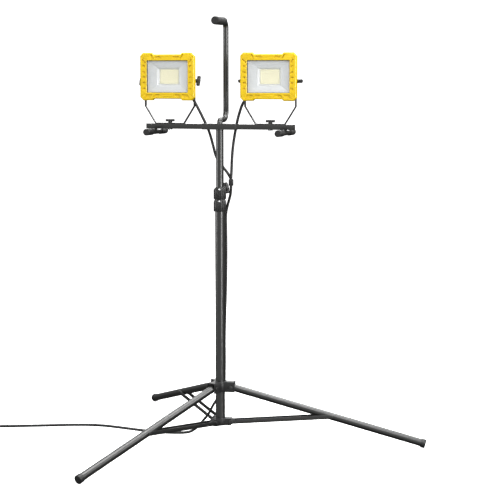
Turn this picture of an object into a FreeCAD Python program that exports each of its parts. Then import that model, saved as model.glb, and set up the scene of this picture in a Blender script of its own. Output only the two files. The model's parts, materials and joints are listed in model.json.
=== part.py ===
"""Twin-head LED work light on a folding tripod, in millimetres, +Z up.

The origin is on the floor under the mast's axis. The crossbar runs along X and the lamps face -Y.
The tripod folds by sliding its hub up the mast, the mast is telescopic, and each head pans and tilts.
"""
import FreeCAD, Part
import math
import os

V = FreeCAD.Vector
os.makedirs("parts", exist_ok=True)

# ---- clearances -------------------------------------------------------------------------------
RUN = 0.05          # radial, a pin in its hole
SLIDE = 0.3         # between faces that move past each other

# ---- telescopic mast --------------------------------------------------------------------------
LOWER_D = 28.0
LOWER_WALL = 1.5
LOWER_BOTTOM = 50.0
UPPER_D = 22.0
UPPER_WALL = 1.2
UPPER_BOTTOM = 285.0
BUSH_LENGTH = 30.0
BAND_H = 33.4                # height of each clamp band
BAND_GAP = 2.6
CLAMP_BOTTOM = 680.3
CLAMP_WALL = 4.4
UPPER_SHOULDER = (6.0, 6.5)  # top chamfer of the upper band, inwards and down
LOWER_SHOULDER = (2.8, 5.5)  # top chamfer of the lower band
GROOVE_R = 15.6
CLAMP_SCREW_R = 3.2
CLAMP_SCREW_IN = 14.3        # mast axis to a screw head's inner end
CLAMP_SCREW_PROUD = 0.8
CLAMP_SCREW_TURN = -78.0     # degrees from +X, the side that the screw heads face
CLAMP_SCREW_DROPS = (3.8, 5.2)   # screws under the tops of the lower and upper bands
CLAMP_KNOB_TURN = -14.0      # the knob's side, degrees from +Y
CLAMP_KNOB_DROP = 4.0        # knob's axis under the collar's top
CLAMP_BOSS_R = 7.5
CLAMP_BOSS_IN = 12.0         # mast axis to the boss's root
CLAMP_BOSS_L = 13.4
KNOB_SOCKET = 2.0            # depth of a stud in the wing, past the knob's stem

# ---- tripod -----------------------------------------------------------------------------------
LEG_ANGLES = {"front_left": 249.2, "right": 9.2, "rear_left": 129.2}
LEG_D = 22.0
LEG_WALL = 1.2
LEG_REACH = 600.0            # mast axis to the middle of a foot's end
PIVOT_R = 33.0               # mast axis to a leg's hinge pin, and to a strut's lower pin
HUB_PIVOT_Z = 164.5
LEG_TAIL = 7.6               # leg beyond its hinge pin
FOOT_WALL = 1.6
FOOT_LENGTH = 15.0
FOOT_END = 4.0
HUB_WALL = 3.0
HUB_BELOW = 14.0             # hub under its hinge pins
HUB_ROOM = 14.3              # free height over the pins for the turning leg tail
HUB_PLATE = 2.4
HUB_CHAMFER = 1.9
CHEEK = 2.2
ARM_OUT = 11.0               # hub arm beyond the hinge pin
PIN_R = 3.0
HEAD_R = 5.0
HEAD_T = 1.8
STRUT_W = 12.0
STRUT_T = 2.0
STRUT_AT = 303.0             # hinge pin to strut pin along the leg
BRACKET_Z = 62.0             # height of the struts' lower pins
BRACKET_H = 21.0
BRACKET_WALL = 3.5
EAR_OUT = 8.0

# ---- crossbar, rests and handle ---------------------------------------------------------------
BAR_Z = 924.6
BAR_S = 15.0
BAR_WALL = 1.5
BAR_HALF = 220.0
PLUG_T = 3.0
PLUG_IN = 12.0
SLEEVE_LENGTH = 104.0
SLEEVE_WALL = 1.2
REST_X = 195.9
REST_D = 16.0
REST_WALL = 1.2
REST_HALF = 79.5
CAP_LENGTH = 45.0
CAP_WALL = 1.7
CAP_END = 3.0
CAP_ROUND = 0.8
HANDLE_D = 16.0
HANDLE_WALL = 1.2
HANDLE_BENDS = (10.0, 25.0, 20.0)   # over the mast, behind it, and at the top
HANDLE_STUB = 0.2
HANDLE_BACK = 59.0
HANDLE_FRONT = -43.0
HANDLE_TOP = 1225.5
GRIP_WALL = 3.8
GRIP_LENGTH = 82.0
GRIP_END = 3.0
GRIP_ROUND = 1.9

# ---- yokes ------------------------------------------------------------------------------------
LAMP_X = 151.4
PIVOT_Z = 1055.0
YOKE_T = 2.5
YOKE_W = 12.0
YOKE_BASE_HALF = 43.5
YOKE_HALF = 75.0             # middle of the strip at the tilt pivots
YOKE_BEND_Z = 983.0
BASE_BOLT_R = 4.0
BOLT_HEAD_R = 6.5
BOLT_HEAD_T = 3.5
SCREW_R = 3.0

# ---- wing knobs -------------------------------------------------------------------------------
STEM_R = 6.0
WING_SPAN = 29.0
WING_T = 11.0
SIDE_WING_W = 8.6
SIDE_STEM = 6.7
SIDE_WING_LEAN = 25.0        # left head's wings lean back from upright
BASE_KNOB_STEM = 3.4
BASE_WING_W = 7.0
BASE_WING_SPAN = 26.0
CLAMP_STEM = 5.0
CLAMP_WING_W = 11.0
CLAMP_WING_SPAN = 32.0
CLAMP_WING_LEAN = -15.0      # from upright, as set when tightened
BASE_BOLT_IN = 1.0           # end of a base bolt in the wing

# ---- lamp heads, measured from the tilt pivot -------------------------------------------------
HEAD_RISE = 12.3             # head's middle above the pivot
BEZEL_FRONT = -26.0
BEZEL_DEPTH = 14.0
BEZEL_HALF = 82.7
BEZEL_RAIL = 63.8            # half height at the rails
PAD_RISE = 4.6
PAD_IN = 37.0                # corner pad's length from the side
PAD_SLOPE = 4.0
CORNER = 9.2
FRONT_CHAMFER = 2.5
WINDOW = (62.6, 46.0)        # half sizes, across and up
LIP = 3.5
LENS_T = 3.0
LENS_LAP = 2.4
GASKET_T = 1.5
GASKET_LAP = 1.2
FLANGE = (74.0, 57.0)
FLANGE_T = 6.0
FLANGE_WALL = 2.4            # flange left behind the reflector's mouth
SHELL = (58.0, 42.0)
SHELL_WALL = 4.0
SHELL_BACK = 2.0
SHEET = 0.8
REFLECTOR_STEP = (35.0, 26.0)
REFLECTOR_THROAT = (28.5, 20.5)
CHIP = (27.2, 18.6)
CHIP_T = 1.2
BOARD = (32.0, 24.0)
BOARD_T = 1.6
BOARD_SEAT = -3.4
FIN_OUT = 15.0
FIN_T = 2.5
FIN_PITCH = 7.6
BOX_HALF = 41.1
BOX_TOP = 44.0
BOX_BOTTOM = -26.4
BOX_OUT = 34.0
GLAND_CUT = 22.0             # size of the box's cut corner that carries the gland
BOSS_R = 9.0
SCREW_INSET = 4.6            # bezel screws, in from the flange's corner
CASE_SCREW_R = 1.5
CASE_HEAD_R = 3.2
CASE_HEAD_T = 2.2
CASE_SCREW_L = 9.5
STUD_IN = 2.0                # end of a tilt stud inside the shell's side

# ---- cords ------------------------------------------------------------------------------------
CORD_D = 8.0
GLAND_HEX = 7.6
GLAND_IN = 10.0              # gland's middle from the box's back face
GLAND_HEX_T = 5.0
GLAND_NUT_R = 6.6
GLAND_NUT_T = 9.0
SPLIT_SIZE = (14.0, 18.0, 19.0)
SPLIT_TURN = 17.0
SPLIT_ROUND = 4.0
SPLIT_AT = (29.5, 13.5, 763.5)
COIL_AT = (-771.0, -92.0)
COIL_RADII = (36.0, 44.0, 52.0)
COIL_LAYERS = 2
PLUG_R = 18.5
PLUG_BODY = 30.0
PLUG_TAPER = 32.0
PLUG_TIP_R = 5.5
PLUG_SHOULDER_R = 9.0
PLUG_PIN_R = 2.4
PLUG_PIN_L = 19.0
PLUG_PIN_GAP = 19.0
PLUG_SIDE = -65.0            # where the plug lies round the coil, degrees from +X
PLUG_LEAN = 15.0             # turned away from the coil's tangent
PLUG_NEAR = -0.5             # tip's clearance before it is turned

LEAD_LEFT = [(-111.4, 26.0, 1031.0), (-103.6, 26.0, 1023.2), (-97.0, 26.0, 1013.0),
             (-88.62, 24.88, 1002.0), (-81.0, 25.0, 988.5)]
LEAD_RIGHT = [(111.4, 26.0, 1031.0), (102.2, 26.0, 1021.8), (90.5, 26.0, 1014.5),
              (78.5, 25.6, 1008.5), (67.6, 25.0, 999.5), (59.3, 25.0, 986.98), (55.2, 25.0, 974.8)]
CABLE_LEFT = [(-81.0, 25.0, 988.5), (-68.3, 25.2, 966.0), (-56.6, 25.4, 942.5),
              (-45.0, 25.0, 921.0), (-35.8, 24.4, 896.0), (-27.8, 23.6, 868.0),
              (-19.8, 22.6, 838.0), (-8.0, 23.0, 820.0), (4.0, 22.8, 804.5),
              (15.8, 20.5, 792.0), (23.4, 18.9, 781.5), (28.3, 17.5, 773.0)]
CABLE_RIGHT = [(55.2, 25.0, 974.8), (48.37, 25.0, 954.5), (43.2, 23.0, 928.5),
               (38.0, 20.0, 897.0), (33.8, 18.0, 866.0), (31.4, 16.6, 832.0),
               (31.6, 12.6, 800.0), (30.7, 9.5, 773.0)]
SUPPLY = [(29.5, 13.5, 754.0), (29.5, 13.5, 736.0), (22.8, 18.4, 715.0), (15.6, 21.6, 694.0),
          (9.4, 23.8, 668.0), (11.0, 23.2, 625.0), (11.6, 22.9, 545.0), (10.0, 23.6, 455.0),
          (7.4, 24.6, 375.0), (5.0, 25.2, 300.0), (5.8, 24.9, 252.0), (5.6, 25.1, 219.0),
          (5.1, 25.0, 196.0), (5.0, 25.5, 177.0), (4.6, 26.6, 161.0), (1.0, 27.2, 148.5),
          (-5.0, 25.8, 137.0), (-14.5, 23.2, 125.5), (-23.0, 21.2, 113.5), (-30.4, 20.2, 100.5),
          (-37.5, 20.2, 86.5), (-46.8, 21.5, 71.5), (-59.0, 24.8, 57.0), (-74.0, 31.0, 40.0),
          (-92.0, 41.0, 22.5), (-112.0, 51.5, 9.0), (-140.0, 54.5, 4.0), (-189.0, 42.0, 4.0),
          (-262.0, 49.0, 4.0), (-328.0, 63.0, 4.0), (-410.0, 78.0, 4.0),
          (-495.0, 58.0, 4.0), (-575.0, 22.0, 4.0), (-652.0, -8.0, 4.0), (-706.0, -30.0, 4.0),
          (-757.2, -41.0, 4.0)]

X = V(1, 0, 0)
Y = V(0, 1, 0)
Z = V(0, 0, 1)
BAND_TOP = CLAMP_BOTTOM + BAND_H
LOWER_TOP = BAND_TOP + BAND_GAP / 2
CLAMP_TOP = CLAMP_BOTTOM + 2 * BAND_H + BAND_GAP
CLAMP_R = LOWER_D / 2 + CLAMP_WALL
CLAMP_KNOB_Z = CLAMP_TOP - CLAMP_KNOB_DROP
CLAMP_SCREW_Z = (BAND_TOP - CLAMP_SCREW_DROPS[0], CLAMP_TOP - CLAMP_SCREW_DROPS[1])
FOOT_R = LEG_D / 2 + FOOT_WALL
CHEEK_IN = LEG_D / 2 + SLIDE
BAR_TOP = BAR_Z + BAR_S / 2
SLEEVE_HALF = BAR_S / 2 + SLEEVE_WALL
YOKE_BASE_Z = BAR_TOP
LENS_FRONT = BEZEL_FRONT + LIP
LENS_BACK = LENS_FRONT + LENS_T
FLANGE_FRONT = LENS_BACK + GASKET_T
FLANGE_BACK = FLANGE_FRONT + FLANGE_T


def save(name, solids):
    """Write one node's solids as one STEP file."""
    Part.makeCompound(solids).exportStep("parts/%s.step" % name)


def box(x0, x1, y0, y1, z0, z1):
    return Part.makeBox(x1 - x0, y1 - y0, z1 - z0, V(x0, y0, z0))


def rod(r, start, direction, length):
    return Part.makeCylinder(r, length, start, direction)


def tube(r, wall, z0, z1):
    return rod(r, V(0, 0, z0), Z, z1 - z0).cut(rod(r - wall, V(0, 0, z0), Z, z1 - z0))


def turned(shape, axis, angle, centre=V(0, 0, 0)):
    copy = shape.copy()
    copy.rotate(centre, axis, angle)
    return copy


def moved(shape, *by):
    copy = shape.copy()
    copy.translate(V(*by))
    return copy


def one(shape):
    """The single solid of a boolean's result, with its seams merged."""
    clean = shape.removeSplitter()
    return clean.Solids[0]


def prism(points, extrude):
    wire = Part.makePolygon(points + points[:1])
    return Part.Face(wire).extrude(extrude)


# ---- cords ------------------------------------------------------------------------------------
def cord_tube(name, route):
    """A tube of straight runs joined by the largest tangent arcs; prints its radii and volume."""
    points = [V(*p) for p in route]
    edges = []
    radii = []
    start = points[0]
    for before, corner, after in zip(points, points[1:], points[2:]):
        way_in = (corner - before).normalize()
        way_out = (after - corner).normalize()
        half = way_in.getAngle(way_out) / 2
        cut = 0.45 * min((corner - before).Length, (after - corner).Length)
        radius = cut / math.tan(half)
        radii.append(radius)
        first = corner - way_in * cut
        last = corner + way_out * cut
        inward = (way_out - way_in).normalize()
        middle = corner + inward * (radius / math.cos(half) - radius)
        edges.append(Part.LineSegment(start, first).toShape())
        edges.append(Part.Arc(first, middle, last).toShape())
        start = last
    edges.append(Part.LineSegment(start, points[-1]).toShape())
    path = Part.Wire(edges)
    section = Part.Wire(Part.makeCircle(CORD_D / 2, points[0], points[1] - points[0]))
    solid = path.makePipeShell([section], True, False)
    share = solid.Volume / (math.pi * CORD_D ** 2 / 4 * path.Length)
    print(name, "length %.0f" % path.Length, "smallest radius %.0f" % min(radii), "volume %.4f" % share)
    print("   radii", " ".join("%.0f" % r for r in radii))
    return solid


def cord_coil():
    """The outer shape of the wound cord: turns side by side in two layers."""
    outer = max(COIL_RADII) + CORD_D / 2
    inner = min(COIL_RADII) - CORD_D / 2
    base = V(COIL_AT[0], COIL_AT[1], 0)
    height = COIL_LAYERS * CORD_D
    return rod(outer, base, Z, height).cut(rod(inner, base, Z, height))


def mains_plug():
    """Round moulded plug with a tapered strain relief and two round pins, lying on its side."""
    body = rod(PLUG_R, V(0, 0, PLUG_R), X, PLUG_BODY)
    taper = Part.makeCone(PLUG_TIP_R, PLUG_SHOULDER_R, PLUG_TAPER, V(-PLUG_TAPER, 0, PLUG_R), X)
    moulding = one(body.fuse(taper))
    solids = [moulding]
    for side in (-1, 1):
        solids.append(rod(PLUG_PIN_R, V(PLUG_BODY, side * PLUG_PIN_GAP / 2, PLUG_R), X, PLUG_PIN_L))
    side = math.radians(PLUG_SIDE)
    reach = max(COIL_RADII) + CORD_D / 2 + PLUG_TIP_R + PLUG_NEAR
    tip = V(COIL_AT[0] + reach * math.cos(side), COIL_AT[1] + reach * math.sin(side), 0)
    lying = [turned(moved(s, PLUG_TAPER, 0, 0), Z, PLUG_SIDE + 90 - PLUG_LEAN) for s in solids]
    return [moved(s, tip.x, tip.y, 0) for s in lying]


def cord_splitter():
    """Moulded block that joins the two lamp cables and the supply cord."""
    a, b, c = SPLIT_SIZE
    block = Part.makeBox(a, b, c, V(-a / 2, -b / 2, -c / 2))
    upright = [e for e in block.Edges if abs(e.tangentAt(e.FirstParameter).z) > 0.9]
    block = block.makeFillet(SPLIT_ROUND, upright)
    return moved(turned(block, Z, SPLIT_TURN), *SPLIT_AT)


# ---- wing knobs -------------------------------------------------------------------------------
def wing_knob(stem, wing_w, span, bore, depth):
    """Moulded wing knob standing on z=0 with its stem down and its wing across X."""
    post = rod(STEM_R, V(0, 0, 0), Z, stem + wing_w / 2)
    wing = box(-span / 2, span / 2, -WING_T / 2, WING_T / 2, stem, stem + wing_w)
    edges = [e for e in wing.Edges if abs(e.tangentAt(e.FirstParameter).y) > 0.9]
    wing = wing.makeFillet(wing_w / 3, edges)
    knob = one(post.fuse(wing))
    if depth > 0:
        knob = knob.cut(rod(bore, V(0, 0, 0), Z, depth))
    return knob.Solids[0]


# ---- mast -------------------------------------------------------------------------------------
def clamp_body():
    """Moulded collar in two bands: the lower grips the lower tube, the upper guides the upper."""
    body = rod(GROOVE_R, V(0, 0, CLAMP_BOTTOM), Z, BAND_H + BAND_GAP)
    for top, shoulder in ((BAND_TOP, LOWER_SHOULDER), (CLAMP_TOP, UPPER_SHOULDER)):
        inwards, down = shoulder
        body = body.fuse(rod(CLAMP_R, V(0, 0, top - BAND_H), Z, BAND_H - down))
        body = body.fuse(Part.makeCone(CLAMP_R, CLAMP_R - inwards, down, V(0, 0, top - down), Z))
    boss = rod(CLAMP_BOSS_R, V(0, CLAMP_BOSS_IN, CLAMP_KNOB_Z), Y, CLAMP_BOSS_L)
    body = body.fuse(turned(boss, Z, CLAMP_KNOB_TURN))
    body = body.cut(rod(LOWER_D / 2, V(0, 0, CLAMP_BOTTOM), Z, LOWER_TOP - CLAMP_BOTTOM))
    body = body.cut(rod(UPPER_D / 2 + SLIDE, V(0, 0, LOWER_TOP), Z, CLAMP_TOP))
    hole = rod(SCREW_R + RUN, V(0, 0, CLAMP_KNOB_Z), Y, 2 * CLAMP_R)
    body = body.cut(turned(hole, Z, CLAMP_KNOB_TURN))
    for z in CLAMP_SCREW_Z:
        body = body.cut(clamp_screw(z))
    return one(body)


def clamp_screw(z):
    """Domed screw head set into a band; it stops short of the tubes."""
    out = V(math.cos(math.radians(CLAMP_SCREW_TURN)), math.sin(math.radians(CLAMP_SCREW_TURN)), 0)
    length = CLAMP_R + CLAMP_SCREW_PROUD - CLAMP_SCREW_IN
    return rod(CLAMP_SCREW_R, out * CLAMP_SCREW_IN + V(0, 0, z), out, length)


def clamp_knob():
    """Wing knob behind the collar, with its stud through the collar's boss."""
    face = CLAMP_BOSS_IN + CLAMP_BOSS_L + SLIDE
    socket = CLAMP_STEM + KNOB_SOCKET
    knob = wing_knob(CLAMP_STEM, CLAMP_WING_W, CLAMP_WING_SPAN, SCREW_R, socket)
    stud_start = UPPER_D / 2 + 2 * SLIDE
    stud = rod(SCREW_R, V(0, 0, stud_start - face), Z, face - stud_start + socket)
    solids = []
    for s in (knob, stud):
        s = turned(turned(s, Z, 90 + CLAMP_WING_LEAN), X, -90)
        s = moved(s, 0, face, CLAMP_KNOB_Z)
        solids.append(turned(s, Z, CLAMP_KNOB_TURN))
    return solids


# ---- tripod -----------------------------------------------------------------------------------
LEG_RUN = LEG_REACH - PIVOT_R


def leg_angle():
    """Leg's slope below level, in degrees, with the foot's lower edge on the floor."""
    slope = math.atan2(HUB_PIVOT_Z, LEG_RUN)
    for _ in range(20):
        slope = math.atan2(HUB_PIVOT_Z - FOOT_R * math.cos(slope), LEG_RUN)
    return math.degrees(slope)


LEG_SLOPE = leg_angle()
LEG_LENGTH = LEG_RUN / math.cos(math.radians(LEG_SLOPE))


def place_leg(shape, angle):
    """From a leg lying along +X with its hinge pin at the origin to its place on the hub."""
    shape = turned(shape, Y, LEG_SLOPE)
    return turned(moved(shape, PIVOT_R, 0, HUB_PIVOT_Z), Z, angle)


def strut_place():
    """Slope below level and length of a strut, from its leg pin to its bracket pin."""
    slope = math.radians(LEG_SLOPE)
    x = STRUT_AT * math.cos(slope)
    z = HUB_PIVOT_Z - STRUT_AT * math.sin(slope) - BRACKET_Z
    return math.degrees(math.atan2(z, x)), math.hypot(x, z)


def leg_tube():
    end = LEG_LENGTH - FOOT_END
    leg = rod(LEG_D / 2, V(-LEG_TAIL, 0, 0), X, end + LEG_TAIL)
    leg = leg.cut(rod(LEG_D / 2 - LEG_WALL, V(-LEG_TAIL, 0, 0), X, end + LEG_TAIL))
    for at in (0, STRUT_AT):
        leg = leg.cut(rod(PIN_R + RUN, V(at, -LEG_D, 0), Y, 2 * LEG_D))
    return leg.Solids[0]


def foot_cap():
    start = LEG_LENGTH - FOOT_LENGTH
    cap = rod(FOOT_R, V(start, 0, 0), X, FOOT_LENGTH)
    return cap.cut(rod(LEG_D / 2, V(start, 0, 0), X, FOOT_LENGTH - FOOT_END)).Solids[0]


def pin_with_heads(at, half):
    """Riveted pin along Y through a clevis of the given half width."""
    pin = rod(PIN_R, V(at, -half, 0), Y, 2 * half)
    for side in (-1, 1):
        pin = pin.fuse(rod(HEAD_R, V(at, side * half, 0), Y * side, HEAD_T))
    return one(pin)


def strut():
    """Two flat bars astride the leg, the rivet through them, and the bracket rivet's two heads."""
    slope, length = strut_place()
    outer = CHEEK_IN + STRUT_T
    solids = []
    for side in (-1, 1):
        y0 = min(side * CHEEK_IN, side * outer)
        bar = box(-length, 0, y0, y0 + STRUT_T, -STRUT_W / 2, STRUT_W / 2)
        for at in (-length, 0):
            bar = bar.fuse(rod(STRUT_W / 2, V(at, y0, 0), Y, STRUT_T))
        bar = one(bar).cut(rod(PIN_R, V(0, y0, 0), Y, STRUT_T))
        solids.append(bar.Solids[0])
        solids.append(rod(HEAD_R, V(-length, side * outer, 0), Y * side, HEAD_T))
    solids.append(pin_with_heads(0, outer))
    return [turned(s, Y, -slope) for s in solids]


def place_strut(shape, angle):
    slope = math.radians(LEG_SLOPE)
    x = PIVOT_R + STRUT_AT * math.cos(slope)
    z = HUB_PIVOT_Z - STRUT_AT * math.sin(slope)
    return turned(moved(shape, x, 0, z), Z, angle)


def hub():
    """Sliding ring with three inverted U arms for the leg hinges."""
    r_in = LOWER_D / 2 + SLIDE
    r_out = r_in + HUB_WALL
    z0 = HUB_PIVOT_Z - HUB_BELOW
    z1 = HUB_PIVOT_Z + HUB_ROOM + HUB_PLATE
    wide = CHEEK_IN + CHEEK
    root = math.sqrt(r_out ** 2 - wide ** 2)
    end = PIVOT_R + ARM_OUT
    body = rod(r_out, V(0, 0, z0), Z, z1 - z0)
    for angle in LEG_ANGLES.values():
        arm = box(root, end, -wide, wide, z0, z1)
        arm = arm.cut(box(r_out, end, -CHEEK_IN, CHEEK_IN, z0, z1 - HUB_PLATE))
        corner = [e for e in arm.Edges if abs(e.tangentAt(e.FirstParameter).y) > 0.9]
        corner = [e for e in corner if e.CenterOfMass.x > end - 1 and e.CenterOfMass.z > z1 - 1]
        arm = arm.makeChamfer(HUB_CHAMFER, corner)
        arm = arm.cut(rod(PIN_R, V(PIVOT_R, -wide, HUB_PIVOT_Z), Y, 2 * wide))
        body = body.fuse(turned(arm, Z, angle))
    return one(body.cut(rod(r_in, V(0, 0, z0), Z, z1 - z0)))


def hub_pins():
    pins = []
    for angle in LEG_ANGLES.values():
        pin = moved(pin_with_heads(0, CHEEK_IN + CHEEK), PIVOT_R, 0, HUB_PIVOT_Z)
        pins.append(turned(pin, Z, angle))
    return pins


def bottom_bracket():
    """Ring on the foot of the mast with an ear between each pair of strut bars."""
    z0 = BRACKET_Z - BRACKET_H / 2
    r_in = LOWER_D / 2
    r_out = r_in + BRACKET_WALL
    body = rod(r_out, V(0, 0, z0), Z, BRACKET_H)
    for angle in LEG_ANGLES.values():
        ear = box(0, PIVOT_R, -LEG_D / 2, LEG_D / 2, z0, z0 + BRACKET_H)
        ear = ear.fuse(rod(EAR_OUT, V(PIVOT_R, -LEG_D / 2, BRACKET_Z), Y, LEG_D))
        body = body.fuse(turned(ear, Z, angle))
    return one(body.cut(rod(r_in, V(0, 0, z0), Z, BRACKET_H)))


# ---- crossbar ---------------------------------------------------------------------------------
def square(half, x0, x1):
    return box(x0, x1, -half, half, BAR_Z - half, BAR_Z + half)


def crossbar():
    bar = square(BAR_S / 2, -BAR_HALF, BAR_HALF)
    bar = bar.cut(square(BAR_S / 2 - BAR_WALL, -BAR_HALF, BAR_HALF))
    for side in (-1, 1):
        bar = bar.cut(rod(BASE_BOLT_R, V(side * LAMP_X, 0, BAR_Z - BAR_S), Z, 2 * BAR_S))
    return bar.Solids[0]


def crossbar_plugs():
    plugs = []
    for side in (-1, 1):
        head = square(BAR_S / 2, BAR_HALF, BAR_HALF + PLUG_T)
        plug = head.fuse(square(BAR_S / 2 - BAR_WALL, BAR_HALF - PLUG_IN, BAR_HALF))
        plugs.append(turned(one(plug), Z, 0 if side > 0 else 180))
    return plugs


def centre_sleeve():
    sleeve = square(SLEEVE_HALF, -SLEEVE_LENGTH / 2, SLEEVE_LENGTH / 2)
    return sleeve.cut(square(BAR_S / 2, -SLEEVE_LENGTH / 2, SLEEVE_LENGTH / 2)).Solids[0]


def bent_tube(points, bends, diameter, wall):
    """Round tube along a polyline with a bend at each corner."""
    edges = []
    start = points[0]
    for before, corner, after, radius in zip(points, points[1:], points[2:], bends):
        way_in = (corner - before).normalize()
        way_out = (after - corner).normalize()
        half = way_in.getAngle(way_out) / 2
        cut = radius * math.tan(half)
        middle = corner + (way_out - way_in).normalize() * (radius / math.cos(half) - radius)
        edges.append(Part.LineSegment(start, corner - way_in * cut).toShape())
        edges.append(Part.Arc(corner - way_in * cut, middle, corner + way_out * cut).toShape())
        start = corner + way_out * cut
    edges.append(Part.LineSegment(start, points[-1]).toShape())
    path = Part.Wire(edges)
    shells = []
    for r in (diameter / 2, diameter / 2 - wall):
        section = Part.Wire(Part.makeCircle(r, points[0], points[1] - points[0]))
        shells.append(path.makePipeShell([section], True, False))
    return shells[0].cut(shells[1]).Solids[0]


def handle_tube():
    foot = BAR_Z + SLEEVE_HALF
    low = foot + HANDLE_STUB + HANDLE_BENDS[0]
    points = [V(0, 0, foot), V(0, 0, low), V(0, HANDLE_BACK, low), V(0, HANDLE_BACK, HANDLE_TOP),
              V(0, HANDLE_FRONT + GRIP_END, HANDLE_TOP)]
    return bent_tube(points, HANDLE_BENDS, HANDLE_D, HANDLE_WALL)


def handle_grip():
    start = V(0, HANDLE_FRONT, HANDLE_TOP)
    grip = rod(HANDLE_D / 2 + GRIP_WALL, start, Y, GRIP_LENGTH)
    rims = [e for e in grip.Edges if e.Closed and e.Length > HANDLE_D]
    grip = grip.makeFillet(GRIP_ROUND, rims)
    return grip.cut(rod(HANDLE_D / 2, start + Y * GRIP_END, Y, GRIP_LENGTH)).Solids[0]


REST_Z = BAR_Z - BAR_S / 2 - REST_D / 2


def rest_tubes():
    tubes = []
    for side in (-1, 1):
        start = V(side * REST_X, -REST_HALF + CAP_END, REST_Z)
        length = 2 * (REST_HALF - CAP_END)
        hollow = rod(REST_D / 2 - REST_WALL, start, Y, length)
        tubes.append(rod(REST_D / 2, start, Y, length).cut(hollow).Solids[0])
    return tubes


def rest_caps():
    caps = []
    for side in (-1, 1):
        for end in (-1, 1):
            start = V(side * REST_X, end * REST_HALF, REST_Z)
            cap = rod(REST_D / 2 + CAP_WALL, start, Y * -end, CAP_LENGTH)
            rims = [e for e in cap.Edges if e.Closed and e.Length > REST_D]
            cap = cap.makeFillet(CAP_ROUND, rims)
            caps.append(cap.cut(rod(REST_D / 2, start - Y * end * CAP_END, Y * -end, CAP_LENGTH)).Solids[0])
    return caps


# ---- yokes ------------------------------------------------------------------------------------
def yoke(x):
    """Bent strip: flat base on the bar, sloping shoulders and two upright arms."""
    half_t = YOKE_T / 2
    line = [(YOKE_BASE_HALF, YOKE_BASE_Z + half_t), (YOKE_HALF, YOKE_BEND_Z), (YOKE_HALF, PIVOT_Z)]
    line = [(-a, b) for a, b in reversed(line)] + line
    sides = [[], []]
    for i, (a, b) in enumerate(line):
        before = line[max(i - 1, 0)]
        after = line[min(i + 1, len(line) - 1)]
        u = V(a - before[0], 0, b - before[1])
        w = V(after[0] - a, 0, after[1] - b)
        u = u.normalize() if u.Length > 0 else V(w).normalize()
        w = w.normalize() if w.Length > 0 else u
        across = V(-u.z - w.z, 0, u.x + w.x).normalize()
        reach = half_t / math.cos(u.getAngle(w) / 2)
        for side, sign in zip(sides, (1, -1)):
            side.append(V(a, -YOKE_W / 2, b) + across * reach * sign)
    strip = prism(sides[0] + sides[1][::-1], Y * YOKE_W)
    for side in (-1, 1):
        start = V(side * YOKE_HALF - half_t, 0, PIVOT_Z)
        strip = strip.fuse(rod(YOKE_W / 2, start, X, YOKE_T))
    strip = one(strip)
    strip = strip.cut(rod(SCREW_R + RUN, V(-2 * YOKE_HALF, 0, PIVOT_Z), X, 4 * YOKE_HALF))
    strip = strip.cut(rod(BASE_BOLT_R + RUN, V(0, 0, YOKE_BASE_Z - 1), Z, 2 * YOKE_T))
    return moved(strip.Solids[0], x, 0, 0)


def yoke_bolts():
    bolts = []
    low = BAR_Z - BAR_S / 2
    top = YOKE_BASE_Z + YOKE_T + BASE_KNOB_STEM + BASE_BOLT_IN
    for side in (-1, 1):
        bolt = rod(BASE_BOLT_R, V(side * LAMP_X, 0, low), Z, top - low)
        bolt = bolt.fuse(rod(BOLT_HEAD_R, V(side * LAMP_X, 0, low - BOLT_HEAD_T), Z, BOLT_HEAD_T))
        bolts.append(one(bolt))
    return bolts


def base_knob(x):
    depth = BASE_KNOB_STEM + BASE_BOLT_IN + SLIDE
    knob = wing_knob(BASE_KNOB_STEM, BASE_WING_W, BASE_WING_SPAN, BASE_BOLT_R + RUN, depth)
    return [moved(knob, x, 0, YOKE_BASE_Z + YOKE_T)]


def side_knob(x, side, wing_turn):
    """Wing knob outside a yoke arm, with its stud reaching into the head's boss."""
    face = YOKE_HALF + YOKE_T / 2 + SLIDE
    socket = SIDE_STEM + KNOB_SOCKET
    knob = wing_knob(SIDE_STEM, SIDE_WING_W, WING_SPAN, SCREW_R, socket)
    tip = SHELL[0] + STUD_IN
    stud = rod(SCREW_R, V(0, 0, tip - face), Z, face - tip + socket)
    solids = []
    for s in (knob, stud):
        s = turned(turned(s, Z, wing_turn), Y, 90 * side)
        solids.append(moved(s, x + side * face, 0, PIVOT_Z))
    return solids


# ---- lamp heads -------------------------------------------------------------------------------
def slab(half, y0, y1):
    """Rectangular block across a head, from its half width and half height."""
    return box(-half[0], half[0], y0, y1, HEAD_RISE - half[1], HEAD_RISE + half[1])


def grown(half, by):
    return (half[0] + by, half[1] + by)


def on_head(shapes, x):
    return [moved(s, x, 0, PIVOT_Z) for s in shapes]


def bezel_outline(y):
    """Octagon-like outline with raised corner pads, clockwise from the top middle."""
    pad = BEZEL_HALF - PAD_IN
    top = BEZEL_RAIL + PAD_RISE
    quarter = [(pad - PAD_SLOPE, BEZEL_RAIL), (pad, top), (BEZEL_HALF - CORNER, top),
               (BEZEL_HALF, top - CORNER)]
    right = quarter + [(a, -b) for a, b in reversed(quarter)]
    loop = right + [(-a, b) for a, b in reversed(right)]
    return [V(a, y, HEAD_RISE + b) for a, b in loop]


def bezel():
    body = prism(bezel_outline(BEZEL_FRONT), Y * BEZEL_DEPTH)
    front = [e for e in body.Edges if all(v.Point.y < BEZEL_FRONT + 0.1 for v in e.Vertexes)]
    body = body.makeChamfer(FRONT_CHAMFER, front)
    body = body.cut(slab(WINDOW, BEZEL_FRONT, FLANGE_BACK))
    body = body.cut(slab(grown(WINDOW, LENS_LAP), LENS_FRONT, FLANGE_BACK))
    body = body.cut(slab(FLANGE, FLANGE_FRONT, FLANGE_BACK))
    for screw in case_screws():
        body = body.cut(screw)
    return one(body)


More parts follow.
